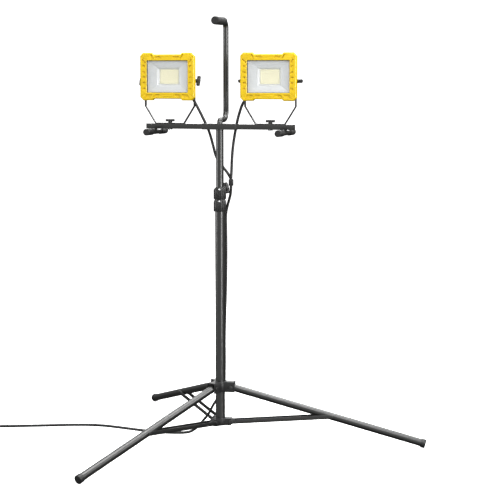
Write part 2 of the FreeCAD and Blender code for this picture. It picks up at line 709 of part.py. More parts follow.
def lens():
    return slab(grown(WINDOW, LENS_LAP), LENS_FRONT, LENS_BACK)


def lens_gasket():
    outer = slab(grown(WINDOW, LENS_LAP), LENS_BACK, FLANGE_FRONT)
    return outer.cut(slab(grown(WINDOW, -GASKET_LAP), LENS_BACK, FLANGE_FRONT))


def funnel(half0, half1, y0, y1):
    """Solid that tapers between two rectangles."""
    loops = []
    for half, y in ((half0, y0), (half1, y1)):
        corners = [V(sx * half[0], y, HEAD_RISE + sz * half[1])
                   for sx, sz in ((-1, -1), (1, -1), (1, 1), (-1, 1))]
        loops.append(Part.makePolygon(corners + corners[:1]))
    return Part.makeLoft(loops, True, True)


def reflector():
    """Pressed sheet in two tapers, open in front and round the light source behind."""
    mouth = grown(WINDOW, -GASKET_LAP)
    step_y = FLANGE_FRONT + FLANGE_T
    end_y = BOARD_SEAT - BOARD_T
    outer = funnel(grown(mouth, SHEET), grown(REFLECTOR_STEP, SHEET), FLANGE_FRONT, step_y)
    outer = outer.fuse(funnel(grown(REFLECTOR_STEP, SHEET), grown(REFLECTOR_THROAT, SHEET), step_y, end_y))
    inner = funnel(mouth, REFLECTOR_STEP, FLANGE_FRONT, step_y)
    inner = inner.fuse(funnel(REFLECTOR_STEP, REFLECTOR_THROAT, step_y, end_y))
    return outer.cut(inner).Solids[0]


def led_board():
    board = slab(BOARD, BOARD_SEAT - BOARD_T, BOARD_SEAT)
    chip = slab(CHIP, BOARD_SEAT - BOARD_T - CHIP_T, BOARD_SEAT - BOARD_T)
    return [board, chip]


def rear_housing(inward):
    """Cast shell with its front flange, cooling fins, wiring box and the two pivot bosses."""
    body = slab(FLANGE, FLANGE_FRONT, FLANGE_BACK).fuse(slab(SHELL, FLANGE_BACK, SHELL_BACK))
    fins = int(2 * (SHELL[0] - FIN_T) / FIN_PITCH)
    for i in range(fins + 1):
        x = (i - fins / 2) * FIN_PITCH
        fin = box(x - FIN_T / 2, x + FIN_T / 2, SHELL_BACK, SHELL_BACK + FIN_OUT,
                  HEAD_RISE - SHELL[1], HEAD_RISE + SHELL[1])
        body = body.fuse(fin)
    back = SHELL_BACK + BOX_OUT
    z0 = HEAD_RISE + BOX_BOTTOM - GLAND_CUT / 2
    z1 = HEAD_RISE + BOX_TOP
    cut = inward * GLAND_CUT
    side = inward * BOX_HALF
    loop = [(-side, z0), (side - cut, z0), (side, z0 + GLAND_CUT), (side, z1), (-side, z1)]
    body = body.fuse(prism([V(a, SHELL_BACK, b) for a, b in loop], Y * (back - SHELL_BACK)))
    reach = YOKE_HALF - YOKE_T / 2 - SLIDE
    body = body.fuse(rod(BOSS_R, V(-reach, 0, 0), X, 2 * reach))
    body = body.cut(slab(grown(WINDOW, SHEET), FLANGE_FRONT, FLANGE_BACK - FLANGE_WALL))
    body = body.cut(slab(grown(SHELL, -SHELL_WALL), FLANGE_FRONT, BOARD_SEAT))
    for s in (-1, 1):
        start = V(s * (SHELL[0] + STUD_IN - SLIDE), 0, 0)
        body = body.cut(rod(SCREW_R + RUN, start, X * s, BEZEL_HALF))
    for screw in case_screws():
        body = body.cut(screw)
    return one(body)


def case_screws():
    """Four screws from behind, through the flange and into the bezel."""
    screws = []
    for sx in (-1, 1):
        for sz in (-1, 1):
            at = V(sx * (FLANGE[0] - SCREW_INSET), FLANGE_BACK, HEAD_RISE + sz * (FLANGE[1] - SCREW_INSET))
            screw = rod(CASE_SCREW_R, at, -Y, CASE_SCREW_L)
            screws.append(one(screw.fuse(rod(CASE_HEAD_R, at, Y, CASE_HEAD_T))))
    return screws


def gland(inward):
    """Hexagon body and round nut round the cable, on the wiring box's cut corner."""
    out = V(inward, 0, -1).normalize()
    z0 = HEAD_RISE + BOX_BOTTOM - GLAND_CUT / 2
    seat = V(inward * (BOX_HALF - GLAND_CUT / 2), SHELL_BACK + BOX_OUT - GLAND_IN, z0 + GLAND_CUT / 2)
    across = V(0, 1, 0)
    third = out.cross(across)
    ring = []
    for a in range(0, 360, 60):
        a = math.radians(a)
        ring.append(seat + across * (GLAND_HEX * math.cos(a)) + third * (GLAND_HEX * math.sin(a)))
    body = prism(ring, out * GLAND_HEX_T)
    body = body.fuse(rod(GLAND_NUT_R, seat + out * GLAND_HEX_T, out, GLAND_NUT_T))
    return one(body)


# ---- write every node -------------------------------------------------------------------------
def build():
    save("mast_lower_tube", [tube(LOWER_D / 2, LOWER_WALL, LOWER_BOTTOM, LOWER_TOP)])
    save("mast_upper_tube", [tube(UPPER_D / 2, UPPER_WALL, UPPER_BOTTOM, BAR_Z - SLEEVE_HALF)])
    bush_r = LOWER_D / 2 - LOWER_WALL - SLIDE
    save("mast_slide_bush", [tube(bush_r, bush_r - UPPER_D / 2, UPPER_BOTTOM, UPPER_BOTTOM + BUSH_LENGTH)])
    save("mast_clamp_body", [clamp_body()])
    save("mast_clamp_screws", [clamp_screw(z) for z in CLAMP_SCREW_Z])
    save("mast_clamp_knob", clamp_knob())
    save("hub_collar", [hub()])
    save("hub_pins", hub_pins())
    save("bottom_bracket", [bottom_bracket()])
    for place, angle in LEG_ANGLES.items():
        save("leg_tube_" + place, [place_leg(leg_tube(), angle)])
        save("foot_cap_" + place, [place_leg(foot_cap(), angle)])
        save("strut_" + place, [place_strut(s, angle) for s in strut()])
    save("crossbar", [crossbar()])
    save("crossbar_plugs", crossbar_plugs())
    save("centre_sleeve", [centre_sleeve()])
    save("handle_tube", [handle_tube()])
    save("handle_grip", [handle_grip()])
    save("rest_tubes", rest_tubes())
    save("rest_tube_caps", rest_caps())
    save("yoke_bolts", yoke_bolts())
    for name, side in (("left", -1), ("right", 1)):
        x = side * LAMP_X
        save("yoke_" + name, [yoke(x)])
        save("base_knob_" + name, base_knob(x))
        for where, s in (("left", -1), ("right", 1)):
            turn = -s * SIDE_WING_LEAN if side < 0 else 90
            save("side_knob_%s_%s" % (name, where), side_knob(x, s, turn))
        save("bezel_" + name, on_head([bezel()], x))
        save("lens_" + name, on_head([lens()], x))
        save("lens_gasket_" + name, on_head([lens_gasket()], x))
        save("reflector_" + name, on_head([reflector()], x))
        save("led_board_" + name, on_head(led_board(), x))
        save("rear_housing_" + name, on_head([rear_housing(-side)], x))
        save("case_screws_" + name, on_head(case_screws(), x))
        save("cable_gland_" + name, on_head([gland(-side)], x))
    save("lamp_lead_left", [cord_tube("lamp_lead_left", LEAD_LEFT)])
    save("lamp_lead_right", [cord_tube("lamp_lead_right", LEAD_RIGHT)])
    save("lamp_cable_left", [cord_tube("lamp_cable_left", CABLE_LEFT)])
    save("lamp_cable_right", [cord_tube("lamp_cable_right", CABLE_RIGHT)])
    save("cord_splitter", [cord_splitter()])
    save("supply_cord", [cord_tube("supply_cord", SUPPLY)])
    save("supply_cord_coil", [cord_coil()])
    save("mains_plug", mains_plug())


build()
slope, length = strut_place()
print("leg slope %.3f length %.2f, strut slope %.3f length %.2f" % (LEG_SLOPE, LEG_LENGTH, slope, length))
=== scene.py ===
"""Twin-head LED work light on a tripod: the finishes, detailed pieces and cords built round its frame."""

import json
import math
from contextlib import contextmanager

import bmesh
import bpy
from bpy.props import FloatProperty, FloatVectorProperty, IntProperty, PointerProperty
from bpy.types import Operator, Panel, PropertyGroup
from mathutils import Matrix, Vector


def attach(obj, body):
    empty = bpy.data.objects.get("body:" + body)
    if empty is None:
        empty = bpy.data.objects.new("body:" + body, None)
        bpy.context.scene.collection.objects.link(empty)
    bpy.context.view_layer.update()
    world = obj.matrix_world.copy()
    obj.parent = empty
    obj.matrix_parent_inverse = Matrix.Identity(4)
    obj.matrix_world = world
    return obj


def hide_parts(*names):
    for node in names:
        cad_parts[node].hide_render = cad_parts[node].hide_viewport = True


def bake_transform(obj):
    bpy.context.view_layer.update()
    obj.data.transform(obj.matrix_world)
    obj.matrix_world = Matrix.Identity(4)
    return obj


bl_info = {
    "name": "Twin-head work light",
    "version": (1, 0, 0),
    "blender": (4, 5, 0),
    "location": "3D View > Sidebar > Work light",
    "description": "Builds the looks of a twin-head LED work light on a folding tripod",
    "category": "Object",
}

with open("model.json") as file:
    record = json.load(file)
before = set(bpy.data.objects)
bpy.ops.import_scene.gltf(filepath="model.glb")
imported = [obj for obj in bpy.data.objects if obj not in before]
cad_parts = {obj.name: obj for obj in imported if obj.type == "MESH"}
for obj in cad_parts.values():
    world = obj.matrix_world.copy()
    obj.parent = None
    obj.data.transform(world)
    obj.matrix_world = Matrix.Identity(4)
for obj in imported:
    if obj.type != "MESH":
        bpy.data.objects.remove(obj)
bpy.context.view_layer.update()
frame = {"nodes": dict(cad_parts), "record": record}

SIDES = ("left", "right")
SIGN = {"left": -1, "right": 1}
LEGS = ("front_left", "right", "rear_left")
X, Y, Z = Vector((1, 0, 0)), Vector((0, 1, 0)), Vector((0, 0, 1))
MM = 0.001
BODY = {node: body for body, nodes in frame["record"]["behaviour"]["bodies"].items() for node in nodes}
SLOT = {part["node"]: part["material_slot"] for part in frame["record"]["subparts"]}

LAMP_OUT = 151.4             # head's middle from the mast
HEAD_UP = 1067.3             # height of a window's middle
PIVOT_UP = 1055.0            # height of the tilt pivots
BEZEL_FACE = -26.0
WINDOW = (62.6, 46.0)
WING_THICK = 11.0
SCALLOP_R = 14.0
SCALLOP_DEPTH = 1.3

# Recesses in the right half of a bezel, as corners across and up from the window's middle.
NOTCH_HEIGHTS = (28.4, 11.2, -2.9, -17.9, -34.2)
NOTCH_IN = 65.8
RECESSES = (
    ((64.8, 36.8), (67.8, 37.6), (75.8, 48.0), (73.4, 50.8), (64.8, 41.4)),
    ((40.6, 51.4), (43.8, 51.4), (50.0, 63.4), (46.8, 63.4)),
    ((17.0, 52.0), (33.6, 52.0), (37.0, 58.8), (20.4, 58.8)),
    ((43.5, -50.4), (62.4, -50.4), (69.6, -61.6), (50.8, -61.6)),
    ((21.5, -50.4), (37.2, -50.4), (43.4, -59.8), (27.7, -59.8)),
)
FACET_GROOVES = (
    ((64.6, 48.4), (66.0, 47.4), (80.4, 57.6), (79.4, 58.8)),
    ((64.6, -48.4), (66.0, -47.4), (80.4, -57.6), (79.4, -58.8)),
)
PLUG_RIBS = 7
PLATE_RECESS = (19, -58.2, -50.8)    # half width, low and high, in a bezel's lower rail
NAME_PLATE = (17.8, -57.2, -51.8)
REFLECTOR_RINGS = ((61.4, 44.8, -18), (36.6, 27.4, -12.2), (34.4, 25.2, -11.4), (28.5, 20.5, -5))
LED_BOARD = ((-32, -5, -24), (32, -3.4, 24))
LIGHT_SOURCE = ((-27.2, -6.2, -18.6), (27.2, -5, 18.6))
CASE_SCREW_AT = (69.4, 52.4)         # across and up from a window's middle
CASE_SCREW_SEAT = -12

# Stem, width and span of each kind of wing knob, and the low and high ends of its stud.
BASE_KNOB = (3.4, 7, 26, 0.4, 4.2)
SIDE_KNOB = (6.7, 8.6, 29, -16.4, 8.2)
CLAMP_KNOB = (5, 11, 32, -14, 6.5)
BASE_KNOB_UP = 934.6
SIDE_KNOB_OUT = 76.55        # a tilt knob's foot from its head's middle
SIDE_KNOB_LEAN = 25          # lean of the left head's wings, in degrees
CLAMP_KNOB_SIDE = 14         # degrees from +Y towards +X
CLAMP_KNOB_OUT = 25.7
CLAMP_KNOB_UP = 745.7
CLAMP_WING_TURN = 75

CLAMP_R = 18.4
FLUTE_R = 1.5
FLUTE_ENDS = (679, 752)
FLUTES_STOP = 32             # degrees without flutes on each side of the knob
CLAMP_SCREW_SIDE = -78.0     # degrees from +X
CLAMP_SCREW_IN = 14.3
CLAMP_SCREWS_UP = (709.9, 744.5)

RELIEF_LONG = 32             # the plug's strain relief
PIN_OUT = 9.5
PLUG_SIDE = -65              # plug's cord end, in degrees round the coil's middle
PLUG_OUT = 61
PLUG_UP = 18.5
PLUG_LIE = 10                # degrees from +X
MERGE = 0.00002              # metres; points nearer than this become one


def linear(hex_colour):
    """An sRGB hex colour as linear red, green, blue and alpha."""
    values = []
    for i in (1, 3, 5):
        c = int(hex_colour[i:i + 2], 16) / 255
        values.append(c / 12.92 if c <= 0.04045 else ((c + 0.055) / 1.055) ** 2.4)
    return (*values, 1.0)


# ---- sizes and colours that a user would change ------------------------------------------------
def length(name, description, millimetres):
    return FloatProperty(name=name, description=description, default=millimetres / 1000,
                         unit="LENGTH", subtype="DISTANCE", precision=4)


def colour(name, description, hex_colour):
    return FloatVectorProperty(name=name, description=description, default=linear(hex_colour),
                               size=4, subtype="COLOR", min=0, max=1)


class WorkLightSizes(PropertyGroup):
    edge: length("Edge", "Rounding of a moulded or cast edge", 0.8)
    plate_edge: length("Plate edge", "Rounding of a cut plate's edge", 0.4)
    notch: length("Notch", "Width of a bezel notch", 9)
    notch_height: length("Notch height", "Height of a bezel notch", 5.2)
    notch_depth: length("Notch depth", "Depth of the bezel's notches and recesses", 3.4)
    rib_depth: length("Rib depth", "Depth of the flutes in the clamp collar", 1.2)
    flutes: IntProperty(name="Flutes", description="Flutes round the clamp collar", default=18)
    cord: length("Cord", "Diameter of the rubber cords", 8)


class WorkLightColours(PropertyGroup):
    coat: colour("Powder coat", "Satin grey-black powder coat on the steel tubes", "#131412")
    yellow: colour("Bezel", "Yellow moulded bezels", "#d8b60c")
    nylon: colour("Nylon", "Black moulded nylon", "#1b1b1b")
    rubber: colour("Rubber", "Black rubber and foam", "#121212")
    zinc: colour("Zinc", "Zinc plating on the screws", "#d9dadb")
    reflector: colour("Reflector", "Satin reflector sheet", "#cbcdcf")
    phosphor: colour("Phosphor", "Phosphor over the light source", "#e6e0b8")
    casting: colour("Casting", "Black paint on the cast housings", "#161716")


class WorkLightStage(PropertyGroup):
    lens: FloatProperty(name="Lens", description="Focal length on a 36 mm sensor, in mm", default=110.2)
    distance: length("Distance", "Camera to the mast, level", 4412)
    height: length("Height", "Camera's height", 1079.4)
    aside: length("Aside", "Camera beside the line to the mast", 87)
    turn: FloatProperty(name="Turn", description="Camera's turn about the mast", subtype="ANGLE",
                        default=math.radians(16.95))
    dip: FloatProperty(name="Dip", description="Camera's tilt below level", subtype="ANGLE",
                       default=math.radians(6.62))


# ---- modelling helpers -------------------------------------------------------------------------
def nothing_selected():
    bpy.ops.object.select_all(action="DESELECT")


def only(piece):
    """Make one piece the selected and active one."""
    nothing_selected()
    piece.select_set(True)
    bpy.context.view_layer.objects.active = piece


def start(kind, name, **settings):
    """Add a mesh primitive as a new piece."""
    nothing_selected()
    getattr(bpy.ops.mesh, "primitive_%s_add" % kind)(**settings)
    piece = bpy.context.object
    piece.name = name
    return piece


def block(name, low, high):
    """A box between two corners."""
    low, high = Vector(low), Vector(high)
    piece = start("cube", name, size=1, location=(low + high) / 2)
    piece.scale = high - low
    settle(piece)
    return piece


def bar(name, radius, begin, end, vertices=48):
    """A cylinder between two points."""
    begin, end = Vector(begin), Vector(end)
    way = end - begin
    turn = way.to_track_quat("Z", "Y").to_euler()
    piece = start("cylinder", name, vertices=vertices, radius=radius, depth=way.length,
                  location=(begin + end) / 2, rotation=turn)
    settle(piece)
    return piece


def settle(piece):
    """Put a piece's place, turn and size into its mesh, so that its object sits at the origin."""
    only(piece)
    bpy.ops.object.transform_apply(location=True, rotation=True, scale=True)


@contextmanager
def editing(piece, kind="FACE"):
    """Edit mode on one piece, with nothing selected at first."""
    only(piece)
    bpy.ops.object.mode_set(mode="EDIT")
    bpy.ops.mesh.select_mode(type=kind)
    bpy.ops.mesh.select_all(action="DESELECT")
    yield
    bpy.ops.object.mode_set(mode="OBJECT")


def face_outwards(merge=0):
    """In edit mode, merge points that lie within a distance, then turn every face outwards."""
    bpy.ops.mesh.select_all(action="SELECT")
    if merge:
        bpy.ops.mesh.remove_doubles(threshold=merge)
    bpy.ops.mesh.normals_make_consistent(inside=False)


def pick(piece, kind, test):
    """In edit mode, select the faces, edges or vertices whose middle (and normal) pass the test."""
    mesh = bmesh.from_edit_mesh(piece.data)
    bpy.ops.mesh.select_all(action="DESELECT")
    if kind == "FACE":
        for face in mesh.faces:
            face.select_set(bool(test(face.calc_center_median(), face.normal)))
    elif kind == "EDGE":
        for edge in mesh.edges:
            a, b = (v.co for v in edge.verts)
            edge.select_set(bool(test((a + b) / 2, (b - a).normalized())))
    else:
        for vertex in mesh.verts:
            vertex.select_set(bool(test(vertex.co, vertex.normal)))
    bmesh.update_edit_mesh(piece.data)


def modify(piece, kind, **settings):
    """Add a modifier to a piece and apply it."""
    only(piece)
    modifier = piece.modifiers.new(kind.lower(), kind)
    for name, value in settings.items():
        setattr(modifier, name, value)
    bpy.ops.object.modifier_apply(modifier=modifier.name)


def cut(piece, *cutters):
    """Take the cutters away from a piece."""
    for cutter in cutters:
        modify(piece, "BOOLEAN", operation="DIFFERENCE", solver="EXACT", object=cutter)
        bpy.data.objects.remove(cutter)


def fuse(piece, *others):
    """Join others to a piece as one closed skin."""
    for other in others:
        modify(piece, "BOOLEAN", operation="UNION", solver="EXACT", object=other)
        bpy.data.objects.remove(other)


def together(name, pieces):
    """Several pieces as one object; the pieces stay separate skins."""
    nothing_selected()
    for piece in pieces:
        piece.select_set(True)
    bpy.context.view_layer.objects.active = pieces[0]
    if len(pieces) > 1:
        bpy.ops.object.join()
    joined = bpy.context.object
    joined.name = name
    return joined


def softened(piece, width, segments=2, angle=32):
    """Round a piece's edges and shade it smooth."""
    modify(piece, "BEVEL", width=width, segments=segments, limit_method="ANGLE",
           angle_limit=math.radians(angle), use_clamp_overlap=True, harden_normals=False)
    smooth(piece)


def smooth(piece, angle=35):
    only(piece)
    bpy.ops.object.shade_smooth_by_angle(angle=math.radians(angle), keep_sharp_edges=False)


def from_node(node, name):
    """A copy of a frame node as a new piece, its loose triangles merged into flat faces."""
    source = frame["nodes"][node]
    piece = bpy.data.objects.new(name, source.data.copy())
    bpy.context.scene.collection.objects.link(piece)
    piece.data.materials.clear()
    with editing(piece):
        bpy.ops.mesh.select_all(action="SELECT")
        bpy.ops.mesh.remove_doubles(threshold=MERGE)
        bpy.ops.mesh.dissolve_limited(angle_limit=math.radians(2))
    return piece


def dress(piece, body, slot, *nodes, material=None):
    """Give a finished piece its finish, the body it rides on and the nodes it stands for."""
    piece.data.materials.clear()
    piece.data.materials.append(bpy.data.materials[material or slot])
    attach(piece, body)
    if nodes:
        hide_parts(*nodes)


# ---- materials ---------------------------------------------------------------------------------
def set_inputs(tree, node, inputs):
    """Give a node's inputs their values, or link each to a (node, output name) pair."""
    for name, value in inputs.items():
        if isinstance(value, tuple) and len(value) == 2 and isinstance(value[0], bpy.types.Node):
            tree.links.new(value[0].outputs[value[1]], node.inputs[name])
        else:
            node.inputs[name].default_value = value


def add_node(tree, kind, inputs=None, stops=(), **settings):
    """Add a shader node with its inputs and settings; a colour ramp takes (position, colour) stops."""
    added = tree.nodes.new(kind)
    for name, value in settings.items():
        setattr(added, name, value)
    set_inputs(tree, added, inputs or {})
    if stops:
        elements = added.color_ramp.elements
        while len(elements) < len(stops):
            elements.new(0.5)
        for element, (position, tint) in zip(elements, stops):
            element.position = position
            element.color = tint
    return added


def new_material(name):
    """An empty material in place of the frame's plain one: returns its node tree, its shader and
    where its patterns read the Object coordinates."""
    if name in bpy.data.materials:
        bpy.data.materials.remove(bpy.data.materials[name])
    material = bpy.data.materials.new(name)
    material.use_nodes = True
    tree = material.node_tree
    shader = tree.nodes["Principled BSDF"]
    coordinates = add_node(tree, "ShaderNodeTexCoord")
    return tree, shader, (coordinates, "Object")


def shade(tint, factor):
    """A colour made darker or lighter by a factor."""
    return (*(min(1.0, c * factor) for c in tint[:3]), 1.0)


def powder_coat(colours):
    """Satin powder coat on steel tube: its orange-peel skin breaks the highlight into soft grain.
    The real peel is about 1 mm across; it is drawn at 2.5 mm so that it shows."""
    tree, shader, place = new_material("powder_coated_steel")
    peel = add_node(tree, "ShaderNodeTexNoise", {"Vector": place, "Scale": 1 / 0.0025,
                                                 "Detail": 2.0, "Roughness": 0.45})
    cloud = add_node(tree, "ShaderNodeTexNoise", {"Vector": place, "Scale": 1 / 0.06,
                                                  "Detail": 3.0})
    tint = add_node(tree, "ShaderNodeValToRGB", {"Fac": (cloud, "Fac")},
                    stops=[(0.3, shade(colours.coat, 0.86)), (0.7, shade(colours.coat, 1.12))])
    gloss = add_node(tree, "ShaderNodeMapRange", {"Value": (cloud, "Fac"), "To Min": 0.26, "To Max": 0.36})
    bump = add_node(tree, "ShaderNodeBump", {"Height": (peel, "Fac"), "Strength": 0.22, "Distance": 0.0004})
    set_inputs(tree, shader, {"Base Color": (tint, "Color"), "Roughness": (gloss, "Result"),
                              "Normal": (bump, "Normal"), "Specular IOR Level": 1.0})


def zinc_plate(colours):
    """Bright zinc plate on turned screws: fine turning lines and a slightly cloudy shine."""
    tree, shader, place = new_material("zinc_plated_steel")
    cloud = add_node(tree, "ShaderNodeTexNoise", {"Vector": place, "Scale": 1 / 0.002,
                                                  "Detail": 3.0})
    tint = add_node(tree, "ShaderNodeValToRGB", {"Fac": (cloud, "Fac")},
                    stops=[(0.35, shade(colours.zinc, 0.85)), (0.65, colours.zinc)])
    gloss = add_node(tree, "ShaderNodeMapRange", {"Value": (cloud, "Fac"), "To Min": 0.25, "To Max": 0.42})
    set_inputs(tree, shader, {"Base Color": (tint, "Color"), "Roughness": (gloss, "Result"),
                              "Metallic": 0.85})


def moulded_nylon(colours):
    """Glass-filled nylon from a spark-eroded mould: an even, fine matt grain, 1.5 mm as drawn."""
    tree, shader, place = new_material("black_nylon")
    grain = add_node(tree, "ShaderNodeTexVoronoi", {"Vector": place, "Scale": 1 / 0.0015})
    cloud = add_node(tree, "ShaderNodeTexNoise", {"Vector": place, "Scale": 1 / 0.02,
                                                  "Detail": 4.0})
    tint = add_node(tree, "ShaderNodeValToRGB", {"Fac": (cloud, "Fac")},
                    stops=[(0.3, shade(colours.nylon, 0.8)), (0.75, shade(colours.nylon, 1.35))])
    bump = add_node(tree, "ShaderNodeBump", {"Height": (grain, "Distance"), "Strength": 0.25,
                                             "Distance": 0.0003})
    set_inputs(tree, shader, {"Base Color": (tint, "Color"), "Normal": (bump, "Normal"),
                              "Roughness": 0.42})


def matt_rubber(colours):
    """Moulded rubber and dense foam: dull, with small pores of about 2 mm."""
    tree, shader, place = new_material("black_rubber")
    pores = add_node(tree, "ShaderNodeTexVoronoi", {"Vector": place, "Scale": 1 / 0.002,
                                                    "Randomness": 1.0})
    cloud = add_node(tree, "ShaderNodeTexNoise", {"Vector": place, "Scale": 1 / 0.012,
                                                  "Detail": 4.0})
    tint = add_node(tree, "ShaderNodeValToRGB", {"Fac": (cloud, "Fac")},
                    stops=[(0.3, shade(colours.rubber, 0.8)), (0.7, shade(colours.rubber, 1.5))])
    bump = add_node(tree, "ShaderNodeBump", {"Height": (pores, "Distance"), "Strength": 0.4,
                                             "Distance": 0.0005})
    set_inputs(tree, shader, {"Base Color": (tint, "Color"), "Normal": (bump, "Normal"),
                              "Roughness": 0.62})


def cord_rubber(colours):
    """Extruded rubber sheath: smoother than moulded rubber, with a faint lengthwise haze."""
    tree, shader, place = new_material("rubber_cable")
    haze = add_node(tree, "ShaderNodeTexNoise", {"Vector": place, "Scale": 1 / 0.015,
                                                 "Detail": 5.0, "Roughness": 0.6})
    tint = add_node(tree, "ShaderNodeValToRGB", {"Fac": (haze, "Fac")},
                    stops=[(0.3, shade(colours.rubber, 0.9)), (0.7, shade(colours.rubber, 1.6))])
    gloss = add_node(tree, "ShaderNodeMapRange", {"Value": (haze, "Fac"), "To Min": 0.38, "To Max": 0.55})
    bump = add_node(tree, "ShaderNodeBump", {"Height": (haze, "Fac"), "Strength": 0.12, "Distance": 0.0004})
    set_inputs(tree, shader, {"Base Color": (tint, "Color"), "Roughness": (gloss, "Result"),
                              "Normal": (bump, "Normal")})


def yellow_plastic(colours):
    """Injection-moulded ABS: bright, half-glossy, with a faint flow mottle and a fine pebble skin."""
    tree, shader, place = new_material("yellow_abs")
    flow = add_node(tree, "ShaderNodeTexNoise", {"Vector": place, "Scale": 1 / 0.03,
                                                 "Detail": 2.0})
    pebble = add_node(tree, "ShaderNodeTexNoise", {"Vector": place, "Scale": 1 / 0.0016,
                                                   "Detail": 2.0})
    tint = add_node(tree, "ShaderNodeValToRGB", {"Fac": (flow, "Fac")},
                    stops=[(0.3, shade(colours.yellow, 0.95)), (0.7, shade(colours.yellow, 1.03))])
    gloss = add_node(tree, "ShaderNodeMapRange", {"Value": (flow, "Fac"), "To Min": 0.3, "To Max": 0.38})
    bump = add_node(tree, "ShaderNodeBump", {"Height": (pebble, "Fac"), "Strength": 0.12,
                                             "Distance": 0.0003})
    set_inputs(tree, shader, {"Base Color": (tint, "Color"), "Roughness": (gloss, "Result"),
                              "Normal": (bump, "Normal")})


def clear_glass(colours):
    """Tempered float glass: nearly invisible from the front, with a thin reflection and faint haze."""
    tree, shader, place = new_material("tempered_glass")
    haze = add_node(tree, "ShaderNodeTexNoise", {"Vector": place, "Scale": 1 / 0.04,
                                                 "Detail": 2.0})
    gloss = add_node(tree, "ShaderNodeMapRange", {"Value": (haze, "Fac"), "To Min": 0.04, "To Max": 0.09})
    set_inputs(tree, shader, {"Roughness": (gloss, "Result"), "Base Color": linear("#eef3f3"),
                              "Alpha": 0.12})


def reflector_sheet(colours):
    """Satin-anodised pressed aluminium: a broad soft shine with fine rolling lines, drawn 1.2 mm apart."""
    tree, shader, place = new_material("bright_aluminium")
    stretch = add_node(tree, "ShaderNodeMapping", {"Vector": place, "Scale": (0.15, 1.0, 1.0)})
    lines = add_node(tree, "ShaderNodeTexNoise", {"Vector": (stretch, "Vector"), "Scale": 1 / 0.0012,
                                                  "Detail": 2.0})
    tint = add_node(tree, "ShaderNodeValToRGB", {"Fac": (lines, "Fac")},
                    stops=[(0.3, shade(colours.reflector, 0.95)), (0.7, colours.reflector)])
    gloss = add_node(tree, "ShaderNodeMapRange", {"Value": (lines, "Fac"), "To Min": 0.45, "To Max": 0.55})
    set_inputs(tree, shader, {"Base Color": (tint, "Color"), "Roughness": (gloss, "Result"),
                              "Metallic": 0.3})


def phosphor_gel(colours):
    """Silicone with yellow phosphor over rows of chips: cream, with a faint dot wherever a chip lies.
    The rows are 3.2 mm apart."""
    tree, shader, place = new_material("led_phosphor")
    dots = add_node(tree, "ShaderNodeTexVoronoi", {"Vector": place, "Scale": 1 / 0.0032,
                                                   "Randomness": 0.0}, distance="CHEBYCHEV")
    tint = add_node(tree, "ShaderNodeValToRGB", {"Fac": (dots, "Distance")},
                    stops=[(0.2, shade(colours.phosphor, 0.93)), (0.4, colours.phosphor)])
    bump = add_node(tree, "ShaderNodeBump", {"Height": (dots, "Distance"), "Strength": 0.3,
                                             "Distance": 0.0004})
    set_inputs(tree, shader, {"Base Color": (tint, "Color"), "Normal": (bump, "Normal"),
                              "Roughness": 0.38})


def cast_paint(colours):
    """Painted die casting: matt black over a lightly pitted skin, 2 mm as drawn."""
    tree, shader, place = new_material("cast_aluminium_black")
    pits = add_node(tree, "ShaderNodeTexNoise", {"Vector": place, "Scale": 1 / 0.002,
                                                 "Detail": 3.0})
    cloud = add_node(tree, "ShaderNodeTexNoise", {"Vector": place, "Scale": 1 / 0.03,
                                                  "Detail": 2.0})
    tint = add_node(tree, "ShaderNodeValToRGB", {"Fac": (cloud, "Fac")},
                    stops=[(0.3, shade(colours.casting, 0.8)), (0.7, shade(colours.casting, 1.25))])
    bump = add_node(tree, "ShaderNodeBump", {"Height": (pits, "Fac"), "Strength": 0.3, "Distance": 0.0004})
    set_inputs(tree, shader, {"Base Color": (tint, "Color"), "Normal": (bump, "Normal"),
                              "Roughness": 0.5})


def white_floor(colours):
    """Self-lit matt white sheet with a barely visible unevenness."""
    tree, shader, place = new_material("floor_sheet")
    cloud = add_node(tree, "ShaderNodeTexNoise", {"Vector": place, "Scale": 1 / 0.8,
                                                  "Detail": 2.0})
    tint = add_node(tree, "ShaderNodeValToRGB", {"Fac": (cloud, "Fac")},
                    stops=[(0.3, linear("#fcfcfc")), (0.7, linear("#ffffff"))])
    set_inputs(tree, shader, {"Base Color": (tint, "Color"), "Roughness": 0.9,
                              "Emission Color": linear("#ffffff"), "Emission Strength": 0.8})


def white_backdrop(colours):
    """White backdrop, lit evenly by itself."""
    tree, shader, place = new_material("white_backdrop")
    cloud = add_node(tree, "ShaderNodeTexNoise", {"Vector": place, "Scale": 1 / 4.0})
    tint = add_node(tree, "ShaderNodeValToRGB", {"Fac": (cloud, "Fac")},
                    stops=[(0.3, linear("#fefefe")), (0.7, linear("#ffffff"))])
    set_inputs(tree, shader, {"Emission Color": (tint, "Color"), "Emission Strength": 1.05})


MATERIALS = (powder_coat, zinc_plate, moulded_nylon, matt_rubber, cord_rubber, yellow_plastic, clear_glass,
             reflector_sheet, phosphor_gel, cast_paint, white_floor, white_backdrop)


